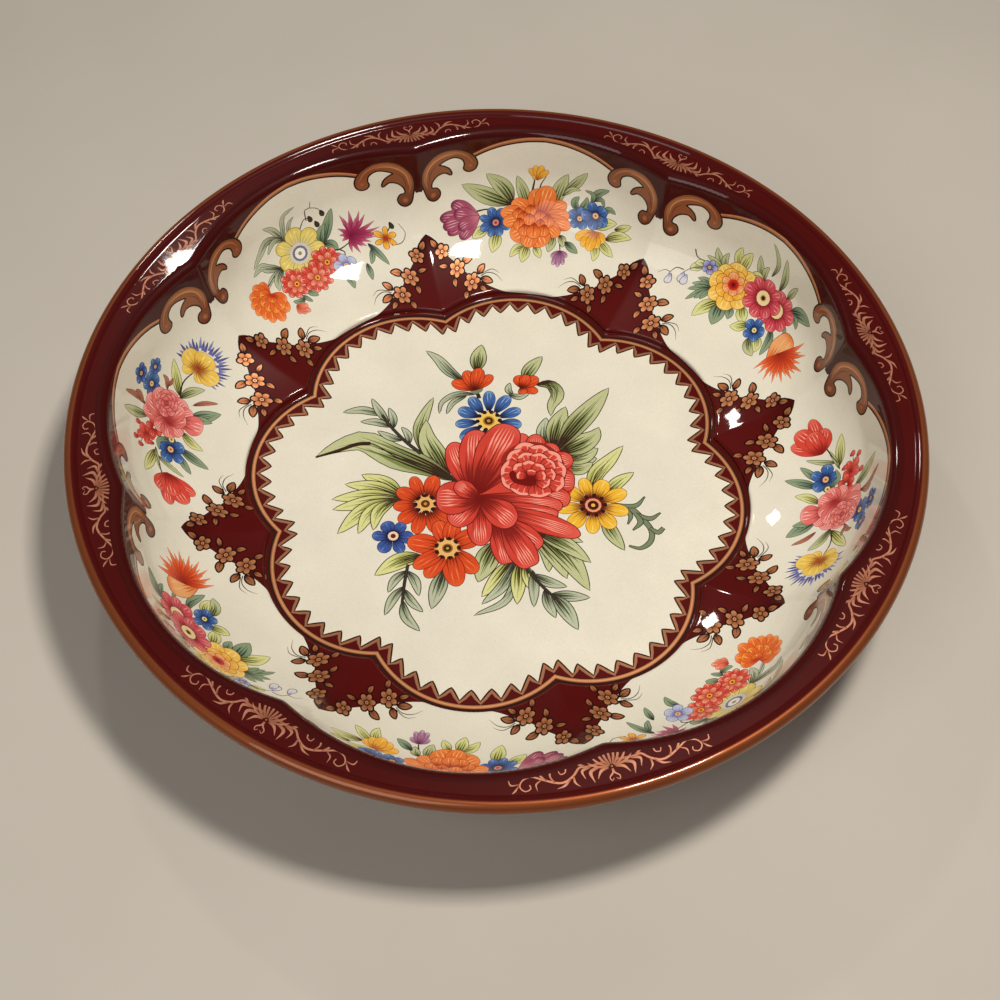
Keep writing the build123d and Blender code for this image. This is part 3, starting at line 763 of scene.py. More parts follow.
def spikes(sheet, base, inks, tips, width=1.1):
    """Narrow pointed petals from one base."""
    for x, y in tips:
        middle = ((base[0] * 0.45 + x * 0.55) + 0.05 * (y - base[1]),
            (base[1] * 0.45 + y * 0.55) - 0.05 * (x - base[0]))
        stroke(sheet, [base, middle, (x, y)], (width * 0.5 + 0.3, width + 0.3, 0.15), inks[3])
        stroke(sheet, [base, middle, (x, y)], (width * 0.5, width, 0.05),
               fade([base, (x, y)], (0, inks[0]), (0.5, inks[1]), (1, inks[2])))


def forget_me_not(sheet, x, y, radius, turn=0.0, heart=ink(232, 176, 120), inks=CORNFLOWER):
    """A flower of five round petals."""
    flower(sheet, (x, y), radius, 5, inks, turn=turn, width=radius * 0.86, inner=0.16, lines=2, shine=1)
    eye(sheet, (x, y), radius * 0.24, [(1.2, inks[3]), (0.9, heart), (0.35, ink(176, 70, 50))])


def peony_bouquet(sheet):
    """An orange peony with a plum tulip, forget-me-nots and a half daisy."""
    leaves(sheet, OLIVE, [(5.6, (-9, 34), (-17, 37.4), (-25.2, 42.9)), (5.2, (-9, 34.4), (-12, 40),
        (-17.4, 45.5)), (3.6, (-4, 33), (-6, 39), (-7.9, 44.2)), (4.2, (4.4, 34), (5.6, 41), (7.7, 46.8)),
        (3.0, (7, 39.6), (10.5, 44), (13.6, 49)), (1.6, (6.6, 38.6), (9.4, 41.6), (12.2, 42)),
        (3.4, (5.4, 25), (5.2, 21.6), (4.7, 18.4)), (2.8, (7.6, 25), (9, 23.4), (9.6, 21.2))])
    leaves(sheet, TEAL, [(2.2, (12, 34.4), (10.8, 37.4), (12, 39.6)), (2.2, (12.6, 34.6), (14.4, 37.6),
        (14.6, 40.2)), (2.4, (16.2, 38.6), (17.8, 42.6), (21.2, 45.2)), (1.3, (16.2, 38), (16.4, 41.6),
        (13.6, 42.4)), (1.3, (17, 39.6), (19.2, 41), (20.6, 38.8)), (1.9, (20.4, 36.2), (22.4, 38.6),
        (24.8, 38)), (2.8, (10, 23.2), (12.6, 21.8), (15.4, 20.6))])
    leaves(sheet, LIME, [(3.6, (19, 30.6), (22.4, 33.6), (26, 35.2)), (2.2, (25.8, 33), (28.2, 34.4),
        (31, 36.6)), (3.2, (23.6, 28.4), (28, 31.6), (32.4, 33)), (3.2, (21.2, 27.4), (25, 25.6),
        (28.2, 24.4)), (3.2, (20.4, 26.4), (21.6, 23), (21.8, 20.1)), (3.8, (-17, 26.6), (-20.4, 25.2),
        (-22.8, 23.8)), (4.4, (-14, 25), (-14.8, 21), (-15.8, 17.6)), (3.2, (-3, 19.4), (-6.6, 18.4),
        (-9.2, 15.6)), (3.8, (-3, 20), (-3.8, 16.8), (-4.5, 13.6)), (2.8, (-0.6, 20), (1, 17.8),
        (2.2, 15.8))])
    stems(sheet, OLIVE[3], [(0.7, (-3, 38.6), (-2.6, 41.8), (-2.4, 44)), (0.5, (-0.8, 38.6), (-0.4, 41.6),
        (1, 44.6)), (0.5, (8.4, 22), (8.8, 20.6), (9, 19.4)), (0.6, (-21, 32.6), (-17, 32.8), (-13, 31))])
    fan(sheet, (-20.2, 30.6), PLUM, [(-28.9, 37.2, 4.8), (-27, 24.4, 4.8), (-33.4, 33.2, 4.8),
        (-31.4, 27.3, 4.4), (-32.7, 30, 5.2), (-28.4, 33.6, 4.6), (-27.4, 28.2, 4.4)], lines=0, shine=3)
    flower(sheet, (-14.5, 28.1), 5.3, 8, CORNFLOWER, turn=20, width=2.9, inner=0.2, lines=1, shine=1)
    eye(sheet, (-14.5, 28), 1.2, [(1.2, CORNFLOWER[3]), (0.9, ink(214, 130, 110)), (0.4, ink(150, 50, 40))])
    forget_me_not(sheet, 13.4, 32.3, 3.8, 20)
    forget_me_not(sheet, 18.4, 34.9, 4.6, 50)
    fan(sheet, (-1.6, 43.2), AMBER, [(-4.2, 47.2, 1.9), (-3, 44.6, 1.5), (-2.5, 48.4, 2), (-0.4, 48.6, 2),
                                     (1.4, 47, 1.9)], lines=1)
    fan(sheet, (19.6, 29.6), AMBER, [(23.5, 27.4, 3.6), (13.4, 25.6, 3.4), (21.6, 24.6, 3.4),
        (16, 23.6, 3.4), (18.8, 22.8, 3.6)])
    fan(sheet, (9, 19.6), MAUVE, [(6.2, 16.8, 1.8), (12, 18.2, 1.8), (7.2, 14.2, 1.9), (11.2, 15.2, 1.9),
                                  (9.2, 13.8, 1.9)], lines=1)
    fan(sheet, (0, 30), PEACH, [(8.2, 36.2, 5), (9.8, 32.4, 4.6), (10.9, 28.6, 5), (7.4, 24.6, 5.4),
        (-9.2, 35, 6), (-12.9, 31.4, 5.4), (-12, 27.8, 5.4), (-1.4, 39.9, 6.6), (2.2, 41.2, 6.8)], 4, 3)
    fan(sheet, (-1.4, 27), PEACH, [(-9, 22.4, 7), (2.4, 20, 8), (-3.4, 19.2, 6)], 4, 3)
    for x, y, size in ((-7, 30.8, 2), (-3, 32, 2), (-5.2, 29.6, 2.1), (0.4, 30.2, 2.2), (3, 28.8, 2.4),
        (-6.4, 27, 2.3), (-3.2, 28.8, 2.2), (0.6, 27.2, 2.2), (-4.6, 25, 2.2), (2, 25.4, 2.2),
        (-1.4, 24.8, 2.8)):
        petal(sheet, (x, y + size), (x, y - size * 0.8), size * 1.8, PEACH, full=0.55, lines=1, shine=2,
            rim=0.16)


def golden_rose_bouquet(sheet):
    """A yellow rose with two anemones, a thistle and lilies of the valley."""
    leaves(sheet, OLIVE, [(2.6, (-13.6, 35.6), (-16.8, 38.4), (-18.8, 41.6)),
        (2.0, (-13.4, 36), (-15, 39), (-14.7, 41.8)), (1.8, (-14, 36), (-17.6, 37), (-20.7, 37.6)),
        (2.4, (-1.6, 40), (-3.6, 44), (-5.1, 47.8)), (1.8, (-0.6, 41), (-1.6, 43.6), (-1, 46.2)),
        (2.4, (5.6, 42), (5.6, 47), (3.6, 53.6)), (2.0, (9.4, 42), (10.2, 46), (11.1, 48.8)),
        (1.4, (1, 44), (1.7, 49), (-0.4, 53), (-2.6, 55)), (3.8, (8, 24.4), (10, 21.8), (14, 21))])
    leaves(sheet, LIME, [(3.4, (-9, 38), (-11.4, 43), (-11.5, 46.2)), (3.4, (-8.6, 38), (-8.6, 43),
        (-7.8, 46.6)), (2.4, (-5, 38.6), (-3.4, 41), (-1.4, 41.6)), (4.6, (-9, 26), (-12.2, 21.6),
        (-13.6, 17)), (4.0, (-2, 29.6), (0, 27.2), (2.6, 25.4)), (3.4, (4, 26.4), (2, 23.6), (-0.3, 21.8)),
        (3.2, (9, 26), (11.8, 24.4), (13.3, 22.2)), (3.0, (-20, 33.6), (-22.4, 32.4), (-23.6, 30.8)),
        (2.2, (-19.6, 34), (-21.4, 34.4), (-23, 33.4))])
    leaves(sheet, TEAL, [(4.2, (12.6, 39.6), (16.4, 42.8), (22, 44)), (2.2, (13.4, 40), (16.6, 39.8),
        (18.2, 38.4)), (5.2, (-8.6, 26), (-7, 22), (-5.6, 18.2)), (2.8, (-5.4, 26.6), (-3.8, 25),
        (-2.8, 23)), (2.8, (10.6, 31.4), (13.6, 28.6), (15.6, 23.2)), (1.4, (13, 35.8), (15, 34.8),
        (17, 33.6)), (1.9, (-14, 29), (-17, 29.8), (-19.8, 29.4)), (1.9, (-14, 28.6), (-17.6, 28),
        (-20.6, 27)), (1.9, (-14, 28.4), (-17.4, 26.8), (-20.8, 24.6)), (1.9, (-14, 28.2), (-17, 25),
        (-19.4, 21)), (1.8, (-14, 28), (-15.8, 25), (-17, 22.6)), (1.6, (-13.8, 28), (-14.8, 25.4),
        (-15.3, 23.2))])
    stems(sheet, SAGE[3], [(0.4, (-25, 38), (-23.4, 35.8), (-20.2, 35.4)), (0.4, (-20, 33), (-23.2, 31.6),
        (-25.4, 28.8)), (0.4, (-25.4, 30), (-28, 29.8), (-29.4, 27)), (0.3, (-29, 27.8), (-31, 28),
        (-32.8, 26.6))])
    for x, y in ((-25, 27.2), (-23.8, 26.8), (-28.7, 25.4)):
        petal(sheet, (x, y + 1.8), (x + 0.3, y - 1.6), 2.2, (VIOLET[2], ink(218, 214, 214),
            ink(200, 198, 206), VIOLET[3], CREAM), full=0.7, lines=1, shine=0)
    forget_me_not(sheet, -18.3, 34.2, 2.5, 10, inks=(VIOLET[0], VIOLET[2], ink(206, 204, 220), VIOLET[3],
        CREAM))
    flower(sheet, (-8.6, 32.8), 8.2, 8, (ink(196, 120, 40), ink(238, 190, 84), ink(246, 214, 122),
        ink(160, 104, 40), ink(252, 234, 168)), turn=12, width=6.4, inner=0.2, lines=3, shine=2)
    flower(sheet, (-8.6, 33), 5.6, 7, AMBER, turn=30, width=4.8, inner=0.2, lines=2, shine=1)
    flower(sheet, (-8.6, 33.2), 3.9, 6, (ink(190, 60, 34), ink(236, 156, 96), ink(246, 198, 140),
        ink(170, 80, 44), ink(250, 216, 170)), turn=0, width=3.4, inner=0.2, lines=2, shine=1)
    eye(sheet, (-8.6, 33.2), 1.9, [(1, ink(196, 44, 30)), (0.6, ink(160, 24, 22)), (0.3, ink(100, 14, 16))])
    for x, y, turn in ((8.7, 36.6, 20), (2.3, 36.2, 5)):
        flower(sheet, (x, y), 7.0, 8, ROSY, turn=turn, width=4.6, inner=0.25, lines=3, shine=2)
        eye(sheet, (x, y), 2.5, [(1.15, ROSY[3]), (1, ink(238, 214, 160)), (0.45, ink(200, 160, 90)),
                                 (0.3, BARK)])
    forget_me_not(sheet, 7.2, 26.6, 3.9, 30, ink(222, 216, 150))
    petal(sheet, (19.8, 24.2), (18.8, 35.6), 8.6, (PEACH[1], ink(236, 170, 110), PEACH[1], PEACH[3],
        PEACH[4]), 0.5, lines=5)
    spikes(sheet, (20.4, 29.4), (POPPY[0], ink(214, 76, 38), ink(238, 150, 92), ink(160, 50, 30)),
        [(24.2, 39), (25.6, 36.4), (27.8, 37.6), (28.4, 34.6), (31.4, 34.2), (30, 31.6), (31, 30),
        (28.6, 28.4), (29.8, 26.4), (27, 25.4), (27.8, 23.2), (25, 23.2), (24.6, 20.8), (22.6, 22.4),
        (21.4, 20), (20, 21.6), (18.6, 19.4)], 1.5)


def pink_rose_bouquet(sheet):
    """A pink rose with a red tulip, a pansy and small blue and orange flowers."""
    leaves(sheet, LIME, [(3.4, (-11.6, 33), (-16, 34.8), (-20.8, 37.4)), (3.0, (-1, 25), (-4, 21),
        (-5.3, 17.2)), (3.2, (10, 30), (14, 34), (18.2, 39))])
    leaves(sheet, OLIVE, [(1.6, (-13.2, 32.6), (-15, 28), (-17.8, 23)), (2.8, (-2, 37.6), (-4.4, 43),
        (-7.1, 50.6)), (3.0, (9.4, 30), (13.6, 27.6), (16.7, 24.4)), (1.2, (-10.6, 33), (-14, 32.2),
        (-18, 31))])
    leaves(sheet, TEAL, [(4.4, (4.6, 24.4), (8, 19.6), (11.2, 15.8)), (3.2, (-7, 25), (-9.6, 20),
        (-12.2, 14.8)), (2.4, (-9.4, 25), (-12.4, 23), (-15.9, 20.6)), (2.6, (5, 24), (6, 20), (6.6, 17))])
    leaves(sheet, RUSSET, [(1.6, (0.2, 40), (0, 45), (-2.5, 51.8)), (1.4, (-0.2, 41), (1.4, 44),
        (0.9, 46.6)), (1.5, (9.6, 25), (12.4, 22), (14.5, 18.4)), (1.4, (9.2, 35), (11.6, 36.8),
        (12, 38.9)), (1.1, (10.4, 35.4), (12, 35), (13.4, 35.2))])
    stems(sheet, OLIVE[3], [(0.6, (10, 30.4), (15, 31.6), (20, 30.6)), (0.5, (-5, 34), (-8.6, 37.6),
        (-11.4, 41.4)), (0.4, (-8.4, 37.6), (-10.6, 38.6), (-12.6, 39.2)), (0.6, (6.4, 40), (6.4, 44),
        (6, 47)), (0.5, (7, 41), (9.4, 42), (11.6, 43.4)), (0.5, (-19, 30.6), (-16, 31.4), (-13, 32.8))])
    fan(sheet, (-18.4, 28.6), POPPY, [(-30.4, 30.5, 4.8), (-24.4, 20.4, 5), (-25.4, 33, 5.4),
        (-28.7, 24.2, 7), (-26.4, 28, 6.6)], 3, 3)
    fan(sheet, (-8, 36.8), POPPY, [(-10.6, 41.2, 2.6), (-6.8, 40.6, 3), (-11.4, 36.6, 2.8),
        (-7.4, 33.8, 2.8), (-5.4, 37, 2.6)])
    for x, y in ((-11.4, 41.6), (-12.7, 39), (-9.9, 34.8), (-6.4, 41.4)):
        petal(sheet, (x, y - 1), (x - 0.4, y + 1.2), 1.3, POPPY, lines=0, shine=1)
    flower(sheet, (-4.6, 34.6), 3.2, 5, POPPY, turn=30, width=2.8)
    forget_me_not(sheet, -9, 27.6, 4.9, 15)
    leaves(sheet, TEAL, [(1.6, (-5.6, 28), (-7.6, 32), (-11, 31.6))])
    eye(sheet, (-5.4, 27.8), 1.0, [(1.2, LINE), (1, ink(236, 210, 130)), (0.4, ink(170, 80, 40))])
    forget_me_not(sheet, 6.2, 47.3, 3.0, 40)
    forget_me_not(sheet, 11.7, 43.2, 2.6, 10)
    forget_me_not(sheet, 6.9, 41.2, 3.8, 60, ink(240, 200, 120))
    for k in range(26):
        a = math.radians(-112 + 8.4 * k)
        low, high = 6.0 + 0.6 * math.sin(2.2 * k), 9.6 + 0.9 * math.sin(3.9 * k)
        path = [(22 + low * math.cos(a), 30.4 + low * math.sin(a)), (22 + high * math.cos(a + 0.05),
                                                                   30.4 + high * math.sin(a + 0.05))]
        stroke(sheet, path, (1.0, 0.9, 0.1), fade(path, (0, VIOLET[1]), (1, VIOLET[3 if k % 3 else 2])))
    fan(sheet, (21.4, 30.4), (ink(150, 50, 24), ink(232, 192, 84), ink(240, 210, 116), ink(160, 116, 50),
        ink(250, 232, 160)), [(18.2, 34.8, 4), (18.2, 26.6, 4), (23.2, 37.8, 6), (21.2, 22.6, 6),
        (27.2, 30.4, 8)], 5, 2)
    fan(sheet, (1, 31), ROSE, [(-1.2, 40.8, 5), (3, 41, 6.6), (-4.6, 34, 5), (-5, 28.4, 6),
        (-2.6, 24.8, 5.4), (7.4, 38.6, 7), (9.8, 33.6, 7.6), (9.2, 27.4, 7), (6.8, 23.8, 5.6)], 5, 4)
    fan(sheet, (2.4, 26.4), ROSE, [(3, 19, 7.4)], 3, 3)
    fan(sheet, (-0.6, 30.4), ROSE, [(4, 25.4, 5.6), (7, 27.6, 5.6)], 5, 3)
    for reach, count, size in ((4.2, 7, 3.9), (2.9, 6, 3.0), (1.7, 4, 2.2)):
        flower(sheet, (5.2, 33.2), reach, count, ROSE, turn=20 * reach, width=size, inner=0.3, lines=2,
            shine=1)


def narcissus_bouquet(sheet):
    """A yellow narcissus with carnations, an aster and grasses."""
    leaves(sheet, SAGE, [(2.0, (-6, 40.4), (-8.4, 46), (-11.4, 48.9)), (2.4, (-6, 41), (-11.4, 43.8),
        (-15, 41.6), (-19.6, 38.8)), (1.6, (-6, 40.6), (-9.4, 42.2), (-12.9, 39.6)),
        (2.6, (-10.6, 32.8), (-15, 35.8), (-17, 37.8), (-20.9, 37)), (1.6, (-10.6, 32.8), (-15.6, 32.2),
        (-19, 30.4)), (3.2, (-10.4, 32.6), (-14, 30.4), (-15.6, 27.6)), (1.5, (-6, 39), (-5.2, 44),
        (-3.8, 48.6), (0.6, 50)), (1.2, (-4, 41), (-2.6, 45), (-0.6, 46.6))])
    leaves(sheet, TEAL, [(3.2, (5, 32.6), (8.6, 38), (11.6, 43.9)), (2.6, (5, 33), (6, 37), (8.2, 39.4)),
        (2.8, (5.4, 33), (8.2, 31.8), (9.2, 29.2)), (2.2, (19.4, 28.6), (21.6, 24.8), (24, 20)),
        (1.7, (20, 26.6), (19.2, 23.4), (18, 21.4)), (2.8, (-7.4, 22.6), (-6, 20.4), (-4.9, 18.4)),
        (1.9, (-9.4, 20.4), (-12, 20.2), (-14, 21.8)), (1.3, (-9.8, 21.4), (-9, 19.6), (-8, 17.8)),
        (2.4, (7, 20.6), (8.6, 18), (8.4, 14.8)), (2.0, (16.6, 22), (16.4, 18.6), (16, 15.8))])
    stems(sheet, SAGE[3], [(0.4, (0, 41), (2.4, 43.8), (4.4, 43.2)), (0.4, (3, 43), (3.4, 46.8), (5, 47),
        (5.7, 49.2)), (0.3, (5, 47), (7.2, 45.8), (8.3, 44)), (0.6, (6, 30.4), (10, 29.4), (14, 30.6)),
        (0.5, (26.4, 31), (27.8, 32.6), (28.5, 34)), (0.3, (27, 26.6), (30.6, 27.2), (32.5, 30.4),
        (31, 33.8)), (0.5, (9.4, 29.6), (11, 28), (10.4, 26)), (0.4, (-19.6, 31), (-17, 31.6),
        (-14, 32.6))])
    for x, y in ((5.9, 40.4), (8.4, 43.5), (4.3, 43.1), (28.6, 33.4)):
        petal(sheet, (x - 0.3, y + 1), (x + 0.2, y - 1.1), 1.3, (LINE, SAGE[3], BARK, LINE, SAGE[2]),
            lines=0, shine=0)
    rust = (ink(176, 40, 22), ink(226, 104, 44), ink(244, 158, 84), ink(170, 62, 32), ink(250, 190, 120))
    fan(sheet, (-19.6, 28.6), rust, [(-20.4, 34, 3.6), (-23.4, 34.8, 3.6), (-26.4, 33.4, 3.6),
        (-27.9, 30.8, 3.6), (-28.2, 28, 3.6), (-27, 25, 3.8), (-25.4, 22, 4), (-21.6, 19.5, 4.4),
        (-17.2, 20.6, 4.6), (-15.8, 23.6, 4.2)], 3, 1)
    fan(sheet, (-19, 28), (rust[0], rust[1], AMBER[1], rust[3], AMBER[4]), [(-22.6, 31.4, 3.4),
        (-24.4, 28.8, 3.4), (-24, 25.8, 3.6), (-21.6, 23, 3.8), (-18.4, 22.4, 3.8), (-20.6, 26.6, 3.6)],
        2, 1)
    flower(sheet, (-2.8, 34.2), 8.2, 7, NARCISSUS, turn=88, width=5.8, inner=0.25, lines=3, shine=2)
    eye(sheet, (-2.8, 33.8), 3.6, [(1, ink(208, 204, 190)), (0.74, ink(118, 110, 134)),
        (0.52, ink(234, 232, 222)), (0.18, ink(150, 140, 90))])
    blush = (ink(180, 52, 36), ink(224, 120, 92), ink(242, 176, 146), ink(168, 66, 50), ink(250, 212, 190))
    for x, y, reach, turn in ((-9.4, 26, 5.2, 10), (3.8, 27.2, 5.6, 40), (-1.8, 24, 5.6, 0)):
        flower(sheet, (x, y), reach, 9, (POPPY[0], POPPY[1], blush[2], POPPY[3], blush[4]),
            turn=turn, width=2.9, inner=0.2, lines=2, shine=1)
        flower(sheet, (x + 0.3, y - 0.3), reach * 0.62, 6, blush, turn=turn + 20, width=2.3, inner=0.2,
            lines=1)
        eye(sheet, (x + 0.3, y - 0.3), 0.9, [(1, AMBER[1]), (0.5, POPPY[0])])
    fan(sheet, (-14, 20), blush, [(-14.6, 17, 2), (-12.8, 15.9, 2.1), (-11, 15.6, 2), (-10.6, 17.6, 2)])
    spikes(sheet, (15, 32.6), ASTER, [(13.4, 40.4), (16.6, 41.2), (14.8, 38), (19.8, 40.2), (18, 38),
        (21.2, 38.6), (11.6, 36.2), (11.4, 33.8), (23.6, 35.8), (24.8, 33.4), (25, 31.6), (22.6, 30.4),
        (11.6, 31.6), (13.4, 27), (16, 26), (17.4, 28), (18.8, 27.8), (20.8, 29)], 1.3)
    flower(sheet, (25.7, 29.2), 3.9, 6, AMBER, turn=20, width=1.9, inner=0.15, lines=1, shine=0)
    eye(sheet, (25.7, 29.2), 0.8, [(1, PEACH[0])])
    forget_me_not(sheet, 9.6, 23.4, 4.0, 20, inks=(VIOLET[1], ink(178, 184, 208), ink(204, 208, 222),
        VIOLET[1], CREAM))


# In their order round the dish; each is on two opposite lobes
BOUQUETS = [pink_rose_bouquet, golden_rose_bouquet, peony_bouquet, narcissus_bouquet]


# ---------------------------------------------------------------- from flat print to pressed pieces

def grid_over(x_range, y_values, x_step, edge_x=()):
    """Spare points over a layout, so that the pressed triangles follow the curves."""
    xs = np.arange(x_range[0] + x_step / 2, x_range[1], x_step)
    rows = []
    for k, y in enumerate(y_values):
        shift = 0.5 * x_step * (k % 2) - 0.25 * x_step
        rows += [(x + shift, y) for x in xs]
        rows += [(x, y) for x in edge_x]
    return rows


def pressed_piece(name, sheet, edge, cut, press, azimuth, ground):
    """A piece of the print: the triangles cut from its layout are pressed and given their inks."""
    corners, triangles, top = cut
    used, triangles = np.unique(triangles, return_inverse=True)
    corners, triangles = corners[used], triangles.reshape(-1, 3)
    x, y = corners.T
    places = press(x, y, azimuth)
    normals = face_normals(press, x, y, azimuth)
    facing = np.cross(places[triangles[:, 1]] - places[triangles[:, 0]],
                      places[triangles[:, 2]] - places[triangles[:, 0]])
    wrong = np.einsum("ij,ij->i", facing, normals[triangles[:, 0]]) < 0
    triangles[wrong] = triangles[wrong][:, ::-1]
    mesh = bpy.data.meshes.new(name)
    mesh.from_pydata(places * MM, [], triangles)
    colours = np.zeros((len(triangles), 3, 4))
    for shape in np.unique(top):
        rows = top == shape
        points = corners[triangles[rows]].reshape(-1, 2)
        paint = ground if shape == 0 else sheet.shapes[shape - 1][1]
        colours[rows] = paint(points).reshape(-1, 3, 4)
    inks = mesh.attributes.new("ink", "FLOAT_COLOR", "CORNER")
    inks.data.foreach_set("color", np.clip(colours, 0, 1).astype(np.float32).ravel())
    low, high = np.min(edge, 0), np.max(edge, 0)
    flat = mesh.uv_layers.new(name=FLAT_MAP)
    places_flat = (corners[triangles] - low) / np.max(high - low)
    flat.data.foreach_set("uv", places_flat.astype(np.float32).ravel())
    mesh.polygons.foreach_set("use_smooth", np.ones(len(triangles), bool))
    mesh.normals_split_custom_set_from_vertices(normals)
    mesh.materials.append(PRINTED)
    made = bpy.data.objects.new(name, mesh)
    bpy.context.collection.objects.link(made)
    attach(made, "root")
    return made


def revolved(name, section, colours):
    """A band turned round the dish's axis, with an ink for each point of its section."""
    section = np.array(section, float)
    count, steps = len(section), 720
    turns = np.arange(steps) * 2 * math.pi / steps
    ring = np.stack([np.outer(np.cos(turns), section[:, 0]), np.outer(np.sin(turns), section[:, 0]),
                     np.broadcast_to(section[:, 1], (steps, count))], -1)
    mesh = bpy.data.meshes.new(name)
    faces = [(a * count + k, (a + 1) % steps * count + k, (a + 1) % steps * count + k + 1,
        a * count + k + 1) for a in range(steps) for k in range(count - 1)]
    mesh.from_pydata(ring.reshape(-1, 3) * MM, [], faces)
    inks = mesh.attributes.new("ink", "FLOAT_COLOR", "POINT")
    inks.data.foreach_set("color", np.tile(np.array(colours, np.float32), (steps, 1)).ravel())
    mesh.polygons.foreach_set("use_smooth", np.ones(len(faces), bool))
    mesh.materials.append(PRINTED)
    made = bpy.data.objects.new(name, mesh)
    bpy.context.collection.objects.link(made)
    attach(made, "root")
    return made


# ---------------------------------------------------------------- finishes

class Nodes:
    """A short way to wire a material."""

    def __init__(self, name):
        self.material = bpy.data.materials.new(name)
        self.material.use_nodes = True
        self.tree = self.material.node_tree
        self.shader = self.tree.nodes["Principled BSDF"]

    def add(self, kind, links=(), **values):
        node = self.tree.nodes.new("ShaderNode" + kind)
        for key, value in values.items():
            setattr(node, key, value)
        for socket, value in dict(links).items():
            self.feed(node.inputs[socket], value)
        return node

    def feed(self, socket, value):
        if isinstance(value, bpy.types.NodeSocket):
            self.tree.links.new(value, socket)
        else:
            socket.default_value = value

    def set(self, **values):
        for name, value in values.items():
            self.feed(self.shader.inputs[name.replace("_", " ")], value)


def printed_tin():
    """Litho inks under a stoved clear varnish: soft ink grain, faint orange peel, high gloss."""
    n = Nodes("printed_tin")
    place = n.add("TexCoord").outputs["Object"]
    colour = n.add("Attribute", attribute_name="ink")
    grain = n.add("TexNoise", {"Vector": place, "Scale": 2600.0, "Detail": 2.0})
    cloud = n.add("TexNoise", {"Vector": place, "Scale": 46.0, "Detail": 3.0})
    mottle = n.add("Math", {0: grain.outputs["Fac"], 1: cloud.outputs["Fac"]}, operation="ADD")
    tone = n.add("MapRange", {"Value": mottle.outputs[0], "From Min": 0.6, "From Max": 1.4, "To Min": 0.9,
                              "To Max": 1.08})
    shaded = n.add("VectorMath", {0: colour.outputs["Color"], "Scale": tone.outputs["Result"]},
                   operation="SCALE")
    peel = n.add("TexNoise", {"Vector": place, "Scale": 220.0, "Detail": 1.0})
    bump = n.add("Bump", {"Height": peel.outputs["Fac"], "Strength": 0.025, "Distance": 0.0004})
    rough = n.add("MapRange", {"Value": cloud.outputs["Fac"], "To Min": 0.34, "To Max": 0.44})
    n.set(Base_Color=shaded.outputs["Vector"], Roughness=rough.outputs["Result"],
        Metallic=colour.outputs["Alpha"], Specular_IOR_Level=0.06, Coat_Weight=0.85, Coat_Roughness=0.035,
        Coat_IOR=1.38, Normal=bump.outputs["Normal"])
    n.feed(n.shader.inputs["Coat Normal"], bump.outputs["Normal"])
    return n.material


def bare_tin():
    """Bright tinplate with fine rolling lines, dulled in patches."""
    n = Nodes("bare_tin")
    place = n.add("TexCoord").outputs["Object"]
    long = n.add("Mapping", {"Vector": place, "Scale": (1.0, 60.0, 1.0)})
    rolled = n.add("TexNoise", {"Vector": long.outputs["Vector"], "Scale": 60.0, "Detail": 4.0})
    patch = n.add("TexNoise", {"Vector": place, "Scale": 30.0, "Detail": 3.0})
    tone = n.add("ValToRGB", {"Fac": patch.outputs["Fac"]})
    tone.color_ramp.elements[0].color = (0.34, 0.32, 0.29, 1)
    tone.color_ramp.elements[1].color = (0.62, 0.60, 0.56, 1)
    rough = n.add("MapRange", {"Value": rolled.outputs["Fac"], "To Min": 0.24, "To Max": 0.46})
    bump = n.add("Bump", {"Height": rolled.outputs["Fac"], "Strength": 0.08, "Distance": 0.0002})
    n.set(Base_Color=tone.outputs["Color"], Metallic=1.0, Roughness=rough.outputs["Result"],
          Normal=bump.outputs["Normal"])
    return n.material


def gold_lacquer():
    """The back's brown-gold lacquer over tin, streaked by the roller and scuffed."""
    n = Nodes("gold_lacquer")
    place = n.add("TexCoord").outputs["Object"]
    patch = n.add("TexNoise", {"Vector": place, "Scale": 24.0, "Detail": 5.0, "Roughness": 0.6})
    fine = n.add("TexNoise", {"Vector": place, "Scale": 900.0, "Detail": 2.0})
    tone = n.add("ValToRGB", {"Fac": patch.outputs["Fac"]})
    tone.color_ramp.elements[0].position = 0.3
    tone.color_ramp.elements[0].color = (0.20, 0.085, 0.030, 1)
    tone.color_ramp.elements[1].position = 0.72
    tone.color_ramp.elements[1].color = (0.36, 0.17, 0.065, 1)
    rough = n.add("MapRange", {"Value": fine.outputs["Fac"], "To Min": 0.22, "To Max": 0.4})
    bump = n.add("Bump", {"Height": fine.outputs["Fac"], "Strength": 0.04, "Distance": 0.0002})
    n.set(Base_Color=tone.outputs["Color"], Metallic=0.55, Roughness=rough.outputs["Result"],
        Coat_Weight=0.7, Coat_Roughness=0.12, Normal=bump.outputs["Normal"])
    return n.material


# ---------------------------------------------------------------- the pieces

PRINTED = printed_tin()
FLAT_MAP = "OFBake"
RIM_INK = MAROON * 0.7 + DEEP * 0.3
for kept, finish in (("dish_sheet", bare_tin()), ("rim_wire", bare_tin()), ("back_lacquer",
    gold_lacquer())):
    mesh = nodes[kept].data
    mesh.materials.clear()
    mesh.materials.append(finish)

EDGE_STEPS = 160
ring_edge = ring_points(RING_RHO, np.arange(-0.5, LOBES - 0.5, 1 / EDGE_STEPS) + PAST_CUSP)


def softened(points):
    """Plan points moved to where the soft ridge puts the lobe outline."""
    degrees = np.degrees(np.arctan2(points[:, 1], points[:, 0]))
    reach = lobe_reach(RING_RHO, degrees)
    return points * (reach / np.hypot(*points.T))[:, None]


